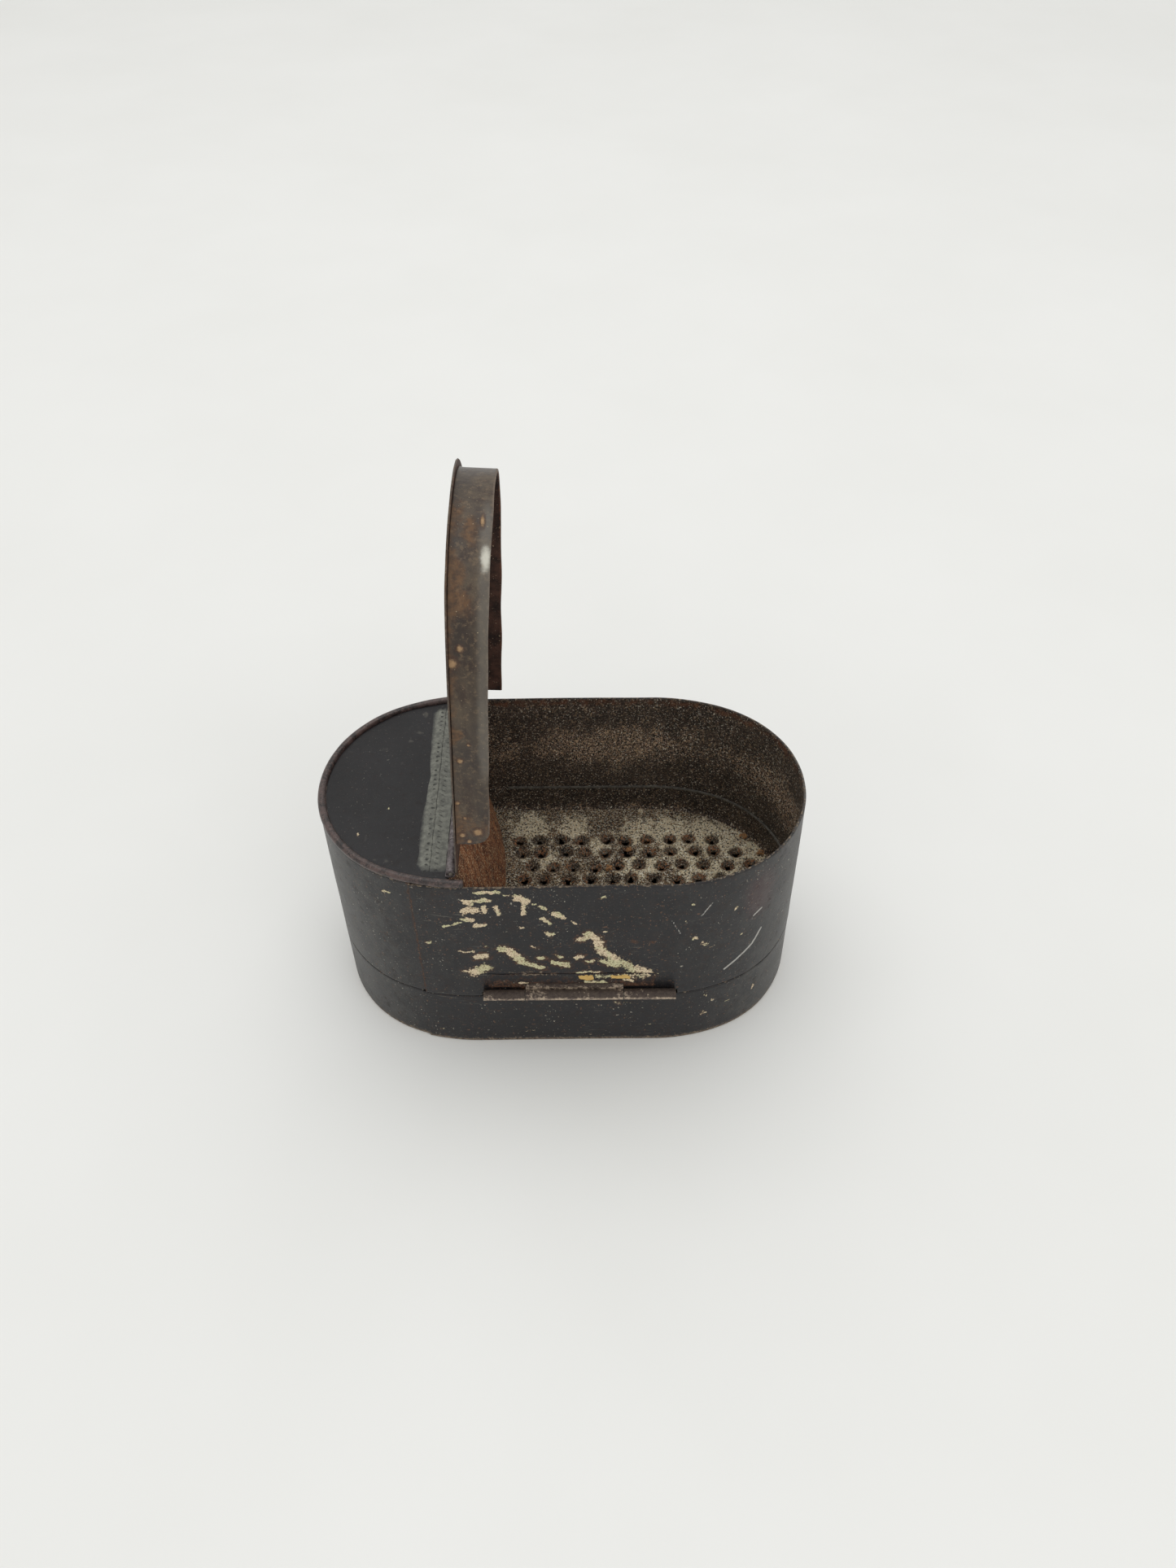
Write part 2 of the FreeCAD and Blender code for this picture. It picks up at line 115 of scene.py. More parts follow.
class Plan:
    """The outline, anticlockwise from the middle of the front: places and outward directions by distance.
    nose_shift moves its right end to the right."""

    def __init__(self, nose_shift=0.0):
        join = math.atan2(ARC_DROP, ARC_RUN)
        quarter = math.pi / 2
        right = STRAIGHT_HALF + nose_shift
        arcs = [
            (right, ARC_DROP, ARC_RADIUS, -quarter, -join),
            (NOSE_X + nose_shift, 0.0, NOSE_RADIUS, -join, join),
            (right, -ARC_DROP, ARC_RADIUS, join, quarter),
            (-STRAIGHT_HALF, -ARC_DROP, ARC_RADIUS, quarter, math.pi - join),
            (-NOSE_X, 0.0, NOSE_RADIUS, math.pi - join, math.pi + join),
            (-STRAIGHT_HALF, ARC_DROP, ARC_RADIUS, math.pi + join, 3 * quarter),
        ]
        rows = [(0.0, -HALF_WIDTH, 0.0, -1.0)]
        for x, y, radius, start, end in arcs:
            for angle in np.linspace(start, end, 90):
                c, s = math.cos(angle), math.sin(angle)
                rows.append((x + radius * c, y + radius * s, c, s))
        rows.append(rows[0])
        self.rows = np.array(rows)
        steps = np.hypot(*np.diff(self.rows[:, :2], axis=0).T)
        self.distance = np.concatenate([[0.0], np.cumsum(steps)])
        self.length = self.distance[-1]

    def at(self, distance):
        """x, y and the outward direction's x, y at these distances."""
        wrapped = np.mod(distance, self.length)
        return [np.interp(wrapped, self.distance, self.rows[:, k]) for k in range(4)]

    def where(self, x, back=False):
        """The distance at which the front, or the back, of the outline passes x."""
        far = np.where((self.rows[:, 1] > 0) == back, 0.0, 1e6)
        k = int(np.argmin(np.abs(self.rows[:, 0] - x) + far))
        return self.distance[k]


PLAN = Plan()
LID_PLAN = Plan(0.35)
SKIRT_PLAN = Plan(-0.25)


def inside_plan(x, y, inset):
    """True inside the outline, moved in by inset."""
    ax, ay = np.abs(x), np.abs(y)
    in_arc = np.hypot(ax - STRAIGHT_HALF, ay + ARC_DROP) < ARC_RADIUS - inset
    in_side = np.where(ax < STRAIGHT_HALF, ay < HALF_WIDTH - inset, in_arc)
    in_nose = np.hypot(ax - NOSE_X, ay) < NOSE_RADIUS - inset
    by_nose = ay * ARC_RUN < ARC_DROP * (ax - NOSE_X)
    return np.where(by_nose, in_nose, in_side)


def around(plan, along, out, z):
    """Places along the outline, moved outwards by out, at the heights z."""
    x, y, nx, ny = [column[:, None] for column in plan.at(along)]
    return np.stack([x + nx * out, y + ny * out, z], axis=-1)


def near(value, place, width):
    """1 at the place, falling off to both sides."""
    return np.exp(-((value - place) / width) ** 2)


def highest(*marks):
    """The highest of several marks at each point."""
    return np.maximum.reduce(np.broadcast_arrays(*marks))


def ripple(points, size, seed=0.0):
    """A smooth random value from -1 to 1 at each point. size is the width of the swells."""
    flat = (np.asarray(points, float).reshape(-1, 3) / size + seed).tolist()
    return np.array([noise.noise(p) for p in flat]).reshape(np.shape(points)[:-1])


BEND_STEPS = 4                 # points round each edge of a sheet


def rounded_loop(steps, thickness):
    """Round a sheet's section: depth from its outer face, height from 0 to 1, and the nudge of the hems."""
    half = thickness / 2
    rise = np.linspace(0, 1, steps)
    turn = np.linspace(0, math.pi, BEND_STEPS + 2)[1:-1]
    bend = half - half * np.cos(turn)
    lift = half * np.sin(turn)
    depth = np.concatenate([np.zeros(steps), bend, np.full(steps, thickness), bend[::-1]])
    height = np.concatenate([rise, np.ones(BEND_STEPS), rise[::-1], np.zeros(BEND_STEPS)])
    nudge = np.concatenate([half * (1 - 2 * rise), lift - half, half * (1 - 2 * rise[::-1]), half - lift])
    return depth, height, nudge


def inner_face(steps):
    """1 where the steps round a sheet's section are on its inner face, 0 elsewhere."""
    first = steps + BEND_STEPS - 1
    return [int(first <= k <= first + steps) for k in range(2 * (steps + BEND_STEPS))]


def two_faces(face, rear):
    """Closes a strip's front and rear, each one grid, into loops round its section."""
    return np.concatenate([face, rear[:, ::-1]], axis=1)


# Meshes

def mesh_piece(name, points, faces, marks=None, indices=None, crease=35.0):
    """A new object from points in millimetres. marks are values kept at the points for the materials."""
    mesh = bpy.data.meshes.new(name)
    mesh.from_pydata((np.asarray(points) * MM).tolist(), [], [list(map(int, f)) for f in faces])
    for mark, values in (marks or {}).items():
        data = mesh.attributes.new(mark, "FLOAT", "POINT")
        data.data.foreach_set("value", np.ascontiguousarray(values, dtype=np.float32).ravel())
    if indices is not None:
        mesh.polygons.foreach_set("material_index", np.asarray(indices, dtype=np.int32))
    work = bmesh.new()
    work.from_mesh(mesh)
    bmesh.ops.recalc_face_normals(work, faces=work.faces)
    work.to_mesh(mesh)
    work.free()
    mesh.polygons.foreach_set("use_smooth", [True] * len(mesh.polygons))
    mesh.set_sharp_from_angle(angle=math.radians(crease))
    piece = bpy.data.objects.new(name, mesh)
    bpy.context.scene.collection.objects.link(piece)
    return piece


def grid_faces(rows, columns, wrap_rows, wrap_columns):
    """The faces between the points of a grid, which may close on itself either way."""
    faces = []
    for i in range(rows if wrap_rows else rows - 1):
        for j in range(columns if wrap_columns else columns - 1):
            a, b = i * columns, ((i + 1) % rows) * columns
            k = (j + 1) % columns
            faces.append((a + j, b + j, b + k, a + k))
    return faces


def swept_piece(name, loops, closed=False, marks=None, side=None, crease=35.0):
    """A piece whose section is one loop of points per station. side gives a material to each loop step."""
    stations, around = loops.shape[:2]
    faces = grid_faces(stations, around, closed, True)
    indices = [0] * len(faces)
    if side is not None:
        indices = [side[k % around] for k in range(len(faces))]
    if not closed:
        faces += [list(range(around)), list(range((stations - 1) * around, stations * around))]
        indices += [indices[0], indices[0]]
    return mesh_piece(name, loops.reshape(-1, 3), faces, marks, indices, crease)


def disc_piece(name, edge, low, high, lift, marks=None, under=0):
    """A flat sheet inside a closed edge, with a rounded rim. lift(points) gives its unevenness."""
    centre = edge.mean(axis=0)
    rings = np.linspace(0.0, 1.0, 22)[1:]
    half = (high - low) / 2
    size = np.linalg.norm(edge - centre, axis=1, keepdims=True)
    rows = [(centre + (edge - centre) * share, high) for share in rings]
    rows.append((centre + (edge - centre) * (1 + half / size), (low + high) / 2))
    rows += [(centre + (edge - centre) * share, low) for share in rings[::-1]]
    count = len(edge)
    loops = np.array([np.column_stack([p, np.full(count, z)]) for p, z in rows])
    flat = loops.copy()
    flat[..., 2] = 0.0
    loops[..., 2] += lift(flat)
    faces = grid_faces(len(rows), count, False, True)
    indices = [under if k // count > len(rings) else 0 for k in range(len(faces))] + [0, under]
    faces += [list(range(count)), list(range((len(rows) - 1) * count, len(rows) * count))]
    marks = marks(loops) if marks else None
    return mesh_piece(name, loops.reshape(-1, 3), faces, marks, indices)


def dress(piece, materials, slot, body, *nodes):
    """Gives a piece its materials and its body, and hides the CAD nodes that it stands for. slot is not used.
    """
    for material in materials:
        piece.data.materials.append(material)
    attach(piece, body)
    if nodes:
        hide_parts(*nodes)
    return piece


def swing_open(piece):
    """Turns a piece of the lid from closed to the open rest position, in its mesh."""
    pivot = Vector((LID_AXIS * MM).tolist())
    turn = Matrix.Translation(pivot) @ Matrix.Rotation(-LID_OPEN, 4, "Y") @ Matrix.Translation(-pivot)
    piece.data.transform(turn)
    return piece


# Materials

def tone(red, green, blue):
    """A colour given as it looks on a screen, from 0 to 255."""
    def linear(value):
        value /= 255
        return value / 12.92 if value <= 0.04045 else ((value + 0.055) / 1.055) ** 2.4

    return (linear(red), linear(green), linear(blue), 1.0)


class Finish:
    """A material whose look is worked out by nodes, with its colour built up in coats. Sizes are in
    millimetres."""

    def __init__(self, name, **fixed):
        self.material = bpy.data.materials.new(name)
        self.material.use_nodes = True
        self.tree = self.material.node_tree
        self.shader = self.tree.nodes["Principled BSDF"]
        for socket, value in fixed.items():
            self.shader.inputs[socket.replace("_", " ")].default_value = value
        self.place = self.node("ShaderNodeTexCoord").outputs["Object"]
        self.colour = None

    def node(self, kind, inputs=None, **settings):
        made = self.tree.nodes.new(kind)
        for key, value in settings.items():
            setattr(made, key, value)
        for key, value in (inputs or {}).items():
            self.feed(made.inputs[key], value)
        return made

    def feed(self, socket, value):
        if isinstance(value, bpy.types.NodeSocket):
            self.tree.links.new(value, socket)
        else:
            socket.default_value = value

    def stretched(self, stretch, shift):
        inputs = {"Vector": self.place, "Scale": stretch, "Location": (shift, -shift, 2 * shift)}
        return self.node("ShaderNodeMapping", inputs).outputs[0]

    def grain(self, size, detail=4.0, rough=0.6, stretch=(1, 1, 1), shift=0.0):
        """Noise from 0 to 1, with swells of this size."""
        inputs = {"Vector": self.stretched(stretch, shift), "Scale": 1 / (size * MM)}
        inputs.update({"Detail": detail, "Roughness": rough})
        return self.node("ShaderNodeTexNoise", inputs).outputs[0]

    def grit(self, size, low, high, shift=0.0):
        """Irregular specks, where fine grain passes a threshold."""
        return self.step(self.grain(size, 2.0, 0.5, (1, 1, 1), shift), low, high)

    def mark(self, name):
        return self.node("ShaderNodeAttribute", attribute_name=name).outputs["Fac"]

    def step(self, value, low, high, start=0.0, end=1.0):
        inputs = {"Value": value, "From Min": low, "From Max": high, "To Min": start, "To Max": end}
        return self.node("ShaderNodeMapRange", inputs, interpolation_type="SMOOTHSTEP").outputs[0]

    def maths(self, operation, a, b):
        return self.node("ShaderNodeMath", {0: a, 1: b}, operation=operation).outputs[0]

    def times(self, a, b):
        return self.maths("MULTIPLY", a, b)

    def plus(self, a, b):
        return self.maths("ADD", a, b)

    def most(self, a, b):
        return self.maths("MAXIMUM", a, b)

    def ragged(self, mark, size, amount, low, high):
        """A mask with a ragged edge, where the mark, broken up by grain, goes from low to high."""
        broken = self.grain(size, 5.0, 0.65)
        centred = self.times(self.maths("SUBTRACT", broken, 0.5), amount)
        return self.step(self.plus(self.mark(mark), centred), low, high)

    def blend(self, share, a, b):
        """A colour between two others."""
        return self.node("ShaderNodeMix", {0: share, 6: a, 7: b}, data_type="RGBA").outputs[2]

    def between(self, value, low, high, a, b):
        """A colour that turns from a into b as value goes from low to high."""
        return self.blend(self.step(value, low, high), a, b)

    def coat(self, mask, share, colour):
        """Lays a colour over the coats before it, and gives back how far it covers them."""
        cover = mask if share is None else self.times(mask, share)
        self.colour = self.blend(cover, self.colour, colour)
        return cover

    def level(self, share, a, b):
        """A value between two others."""
        return self.node("ShaderNodeMix", {0: share, 2: a, 3: b}, data_type="FLOAT").outputs[0]

    def relief(self, height, depth, under=None):
        inputs = {"Height": height, "Distance": depth * MM, "Strength": 1.0}
        if under is not None:
            inputs["Normal"] = under
        return self.node("ShaderNodeBump", inputs).outputs[0]

    def finished(self, roughness, normal=None):
        self.feed(self.shader.inputs["Base Color"], self.colour)
        self.feed(self.shader.inputs["Roughness"], roughness)
        if normal is not None:
            self.feed(self.shader.inputs["Normal"], normal)
        return self.material


def japan_finish():
    """Black japanning: hazy gloss, fine scuffs, brown at worn edges, rust and old cream paint in places. Its
    hazy grey turns into a painted sheen towards the curved ends of the walls, and the worn top edge of the
    case is partly a painted highlight.
    """
    f = Finish("black_japan", Specular_IOR_Level=0.3)
    cloud = f.grain(9.0, 5.0, 0.6)
    specks = f.mark("specks")
    f.colour = f.between(cloud, 0.3, 0.7, tone(20, 19, 22), tone(31, 30, 33))
    grime = f.step(f.grain(1.4, 6.0, 0.75, shift=0.007), 0.48, 0.68)
    f.coat(grime, f.level(specks, 0.15, 0.55), tone(50, 40, 36))
    f.coat(f.ragged("maroon", 5.0, 0.6, 0.3, 0.9), 0.6, tone(62, 34, 36))
    # Hazy grey, which grows into a painted sheen towards the curved ends of the walls
    haze_and_sheen = f.step(f.grain(1.8, 7.0, 0.8, (1, 1, 0.6)), 0.32, 0.74)
    haze_and_sheen = f.coat(haze_and_sheen, f.level(f.mark("bloom_and_sheen"), 0.03, 0.66), tone(108, 107, 102))
    rust = f.ragged("rust", 0.9, 1.2, 0.35, 0.8)
    f.coat(rust, 0.8, f.between(f.grain(0.35), 0.35, 0.65, tone(52, 36, 29), tone(104, 72, 52)))
    wear = f.ragged("wear", 0.6, 1.3, 0.45, 0.62)
    metal = f.between(f.grain(0.4, 5.0, 0.7), 0.35, 0.65, tone(58, 46, 41), tone(138, 124, 106))
    f.coat(wear, None, metal)
    crowd = f.times(f.step(f.grain(6.0, 4.0, 0.6, shift=0.06), 0.48, 0.66), specks)
    pits = f.most(f.grit(0.36, 0.68, 0.73, 0.01), f.times(f.grit(0.18, 0.66, 0.73), 0.4))
    pits = f.coat(pits, f.level(crowd, f.level(specks, 0.1, 0.25), 1.0), tone(186, 180, 164))
    f.coat(f.times(f.grit(0.45, 0.66, 0.72, 0.03), 0.7), specks, tone(104, 76, 58))
    lines = f.grain(0.5, 2.0, 0.5, (0.2, 0.2, 2.4), 0.02)
    scuffs = f.times(f.step(lines, 0.64, 0.74), f.step(cloud, 0.48, 0.6))
    f.coat(scuffs, 0.35, tone(120, 116, 106))
    f.coat(f.ragged("scratch", 0.4, 0.9, 0.4, 0.6), 0.85, tone(176, 174, 168))
    f.coat(f.ragged("paint", 0.9, 1.4, 0.3, 0.7), 0.5, tone(92, 72, 54))
    paint = f.ragged("paint", 0.45, 1.7, 0.47, 0.56)
    cream = f.between(f.grain(3.0, 3.0), 0.42, 0.58, tone(216, 198, 168), tone(198, 194, 156))
    soiled = f.grain(0.22, 4.0, 0.75, shift=0.02)
    f.coat(paint, None, f.between(soiled, 0.5, 0.62, cream, tone(120, 92, 68)))
    gold = f.ragged("yellow", 0.5, 1.2, 0.47, 0.53)
    f.coat(gold, None, f.blend(f.grain(0.4), tone(222, 190, 118), tone(176, 136, 74)))
    crust = f.most(paint, gold)
    dull = f.most(f.most(crust, wear), f.most(f.most(rust, haze_and_sheen), f.times(grime, 0.6)))
    roughness = f.level(dull, f.level(f.step(cloud, 0.3, 0.7), 0.3, 0.42), 0.68)
    skin = f.relief(f.plus(f.grain(0.5, 4.0, 0.6), f.times(pits, 0.5)), 0.02)
    worn = f.plus(f.times(wear, 0.5), f.plus(f.times(rust, 0.5), f.times(crust, 2.0)))
    return f.finished(roughness, f.relief(worn, 0.04, skin))


def inside_finish():
    """Inside of the walls: nearly black, thick with fine tan and pale spice dust."""
    f = Finish("dusty_inside", Specular_IOR_Level=0.3)
    f.colour = f.between(f.grain(5.0, 6.0, 0.7), 0.35, 0.65, tone(30, 27, 26), tone(66, 58, 52))
    dust = f.ragged("dust", 2.4, 1.6, 0.25, 0.95)
    fine = f.grit(0.18, 0.47, 0.57)
    f.coat(fine, f.level(dust, 0.16, 0.95), tone(196, 168, 142))
    f.coat(f.grit(0.32, 0.52, 0.6, 0.047), 0.9, tone(26, 23, 22))
    coarse = f.grit(0.36, 0.59, 0.64, 0.013)
    f.coat(coarse, f.level(dust, 0.25, 0.85), tone(218, 188, 152))
    pale = f.grit(0.26, 0.61, 0.66, 0.031)
    f.coat(pale, f.level(dust, 0.6, 1.0), tone(255, 248, 230))
    f.coat(f.ragged("rust", 1.2, 1.2, 0.4, 0.8), 0.7, tone(110, 68, 46))
    return f.finished(f.level(dust, 0.5, 0.85), f.relief(f.plus(f.plus(fine, coarse), pale), 0.04))


def rasp_finish():
    """The rasp plate: tarnished tin under fine pale grit, with painted shade dark in the dents, and crumbs
    caught there.
    """
    f = Finish("rasp_sheet", Specular_IOR_Level=0.35)
    f.colour = f.between(f.grain(4.0, 5.0, 0.65), 0.35, 0.65, tone(46, 39, 33), tone(104, 88, 68))
    pale = f.ragged("pale", 1.3, 1.7, 0.35, 0.75)
    f.coat(pale, 0.85, tone(242, 226, 190))
    # Painted shade, dark in the dents; the grits below are kept thinner there too
    dent = f.ragged("dent", 0.5, 0.7, 0.3, 0.75)
    f.coat(dent, 0.92, tone(38, 30, 26))
    gold = f.grit(0.24, 0.52, 0.6)
    f.coat(gold, f.level(dent, f.level(pale, 0.75, 0.4), 0.35), tone(178, 148, 110))
    cream = f.grit(0.27, 0.54, 0.59, 0.021)
    f.coat(cream, f.level(dent, f.level(pale, 0.5, 1.0), 0.2), tone(255, 250, 230))
    f.coat(f.grit(0.32, 0.54, 0.59, 0.043), 0.9, tone(30, 25, 22))
    f.coat(f.grit(0.2, 0.62, 0.67, 0.011), f.level(dent, 1.0, 0.4), tone(250, 244, 226))
    caught = f.times(dent, f.step(f.grain(3.4, 2.0, 0.5, shift=0.05), 0.42, 0.56))
    orange = f.times(f.grit(0.34, 0.5, 0.56, 0.047), f.most(caught, 0.12))
    f.coat(orange, 0.9, f.blend(f.grain(0.4), tone(112, 72, 50), tone(204, 148, 104)))
    return f.finished(0.75, f.relief(f.plus(f.plus(gold, cream), f.grain(0.5)), 0.09))


def rust_finish():
    """The partition: red-brown rust in upright streaks, with pale grit and a pale line along its foot."""
    f = Finish("rusty_sheet", Specular_IOR_Level=0.3)
    streak = f.grain(0.9, 6.0, 0.75, (1.0, 1.0, 0.55))
    f.colour = f.between(streak, 0.4, 0.62, tone(76, 42, 29), tone(144, 92, 62))
    f.coat(f.step(f.grain(2.6, 5.0, 0.7, (1, 1, 0.5), 0.03), 0.46, 0.64), 0.55, tone(178, 124, 86))
    f.coat(f.ragged("shade", 2.0, 0.8, 0.3, 0.9), 0.75, tone(50, 34, 28))
    f.coat(f.grit(0.3, 0.56, 0.64, 0.04), 0.6, tone(44, 27, 21))
    f.coat(f.most(f.grit(0.24, 0.58, 0.64), f.grit(0.44, 0.66, 0.71, 0.02)), 0.8, tone(228, 198, 160))
    f.coat(f.ragged("wear", 0.5, 0.9, 0.45, 0.6), None, tone(186, 160, 128))
    skin = f.relief(f.plus(streak, f.times(f.grain(0.4), 0.5)), 0.1)
    return f.finished(f.step(streak, 0.3, 0.7, 0.6, 0.85), skin)


def lid_finish():
    """The lid: thin brown japanning, with rust stains, blisters and rubbed edges, a painted highlight along
    the band's free edge and a painted glint near its tip.
    """
    f = Finish("lid_brown", Specular_IOR_Level=0.36)
    cloud = f.grain(6.0, 5.0, 0.65, (1, 1, 0.5))
    f.colour = f.between(cloud, 0.35, 0.65, tone(52, 43, 37), tone(84, 72, 58))
    f.coat(f.step(f.grain(2.0, 5.0, 0.7, (1, 1, 0.3), 0.015), 0.46, 0.64), 0.75, tone(50, 36, 30))
    f.coat(f.step(f.grain(0.7, 4.0, 0.7, shift=0.01), 0.5, 0.7), 0.5, tone(120, 101, 78))
    rust = f.ragged("rust", 1.5, 1.2, 0.35, 0.9)
    f.coat(rust, 0.6, f.between(f.grain(0.7, 4.0), 0.35, 0.65, tone(80, 60, 46), tone(118, 86, 58)))
    wear = f.ragged("wear", 0.6, 1.1, 0.45, 0.65)
    f.coat(wear, 0.75, tone(116, 102, 90))
    # A painted highlight along the band's free edge, and a painted glint near its tip
    f.coat(f.ragged("hem_highlight", 1.5, 0.5, 0.2, 1.0), 0.4, tone(120, 116, 108))
    f.coat(f.ragged("glint", 0.8, 0.8, 0.2, 1.0), 0.85, tone(206, 204, 192))
    f.coat(f.ragged("blister", 0.5, 0.6, 0.08, 0.3), 0.6, tone(66, 44, 34))
    crust = f.ragged("blister", 0.4, 0.8, 0.35, 0.85)
    f.coat(crust, 0.85, f.blend(f.grain(0.35), tone(190, 160, 122), tone(132, 98, 68)))
    f.coat(f.grit(0.26, 0.71, 0.76), 0.7, tone(178, 160, 130))
    dull = f.most(crust, f.most(f.times(rust, 0.8), wear))
    roughness = f.level(dull, f.step(cloud, 0.3, 0.7, 0.34, 0.5), 0.72)
    return f.finished(roughness, f.relief(f.plus(f.times(crust, 2.0), f.plus(rust, f.grain(0.6))), 0.05))


def lining_finish():
    """Inside of the lid: dark red-brown, rustier along its edge."""
    f = Finish("lid_lining", Specular_IOR_Level=0.35)
    cloud = f.grain(3.0, 5.0, 0.7)
    f.colour = f.between(cloud, 0.35, 0.65, tone(44, 32, 28), tone(86, 60, 50))
    f.coat(f.ragged("wear", 0.7, 1.1, 0.3, 0.8), 0.8, tone(132, 80, 52))
    nicks = f.most(f.grit(0.3, 0.68, 0.73), f.grit(0.18, 0.7, 0.76, 0.02))
    f.coat(nicks, 0.8, tone(176, 154, 128))
    return f.finished(0.7, f.relief(f.plus(cloud, nicks), 0.05))


def rim_finish():
    """The rolled rim: purplish-brown japanning, rubbed along its crown."""
    f = Finish("rim_brown")
    f.colour = f.between(f.grain(1.3, 6.0, 0.7), 0.4, 0.6, tone(34, 28, 28), tone(78, 62, 59))
    f.coat(f.step(f.grain(0.32, 5.0, 0.75, shift=0.01), 0.5, 0.64), 0.6, tone(112, 94, 88))
    wear = f.ragged("wear", 0.5, 1.6, 0.45, 0.75)
    f.coat(wear, 0.85, f.blend(f.grain(0.3), tone(112, 98, 92), tone(186, 176, 166)))
    return f.finished(f.level(wear, 0.34, 0.5), f.relief(f.grain(0.5, 5.0, 0.7), 0.04))


def tin_finish(name, dark, light, metallic, low, high):
    """Old metal, dull and stained. Where it is clean, its roughness is from low to high."""
    f = Finish(name, Metallic=metallic)
    cloud = f.grain(0.7, 6.0, 0.8)
    f.colour = f.between(cloud, 0.38, 0.62, dark, light)
    dirt = f.ragged("dirt", 0.5, 1.6, 0.4, 0.65)
    f.coat(dirt, 0.92, f.blend(f.grain(0.5), tone(36, 28, 25), tone(62, 48, 42)))
    roughness = f.level(dirt, f.step(cloud, 0.3, 0.7, low, high), 0.75)
    return f.finished(roughness, f.relief(f.grain(0.3, 5.0, 0.75), 0.04))


def strip_finish():
    """The hinge strip: grey-green tarnish with a tool's dents in rows along it, fading into the cover."""
    f = Finish("hinge_strip", Specular_IOR_Level=0.3)
    cloud = f.grain(0.8, 5.0, 0.7)
    f.colour = f.between(cloud, 0.35, 0.65, tone(98, 99, 93), tone(130, 131, 122))
    dent = f.ragged("dent", 0.3, 0.8, 0.4, 0.8)
    f.coat(dent, 0.8, tone(44, 46, 45))
    f.coat(f.ragged("fade", 0.5, 0.4, 0.15, 0.95), None, tone(40, 40, 43))
    return f.finished(0.55, f.relief(f.plus(f.times(dent, -1.0), f.times(cloud, 0.4)), 0.05))


def crumb_finish(name, light, deep):
    f = Finish(name)
    f.colour = f.blend(f.grain(0.3), light, deep)
    return f.finished(0.85)


JAPAN = japan_finish()
INSIDE = inside_finish()
RASP = rasp_finish()
RUST = rust_finish()
LID = lid_finish()
LINING = lining_finish()
RIM = rim_finish()
STRIP = strip_finish()
BARREL = tin_finish("worn_barrel", tone(78, 70, 71), tone(132, 124, 125), 0.3, 0.36, 0.55)
HINGE = tin_finish("worn_hinge", tone(80, 66, 60), tone(186, 168, 146), 0.0, 0.5, 0.74)
SOLDER = tin_finish("dull_solder", tone(80, 78, 74), tone(124, 121, 114), 0.4, 0.4, 0.6)
WIRE = tin_finish("iron_wire", tone(112, 106, 98), tone(166, 158, 148), 0.3, 0.4, 0.6)
CRUMBS = [
    crumb_finish("pale_crumb", tone(214, 202, 172), tone(170, 146, 106)),
    crumb_finish("tan_crumb", tone(150, 112, 70), tone(104, 72, 44)),
    crumb_finish("warm_crumb", tone(206, 160, 112), tone(146, 102, 68)),
]

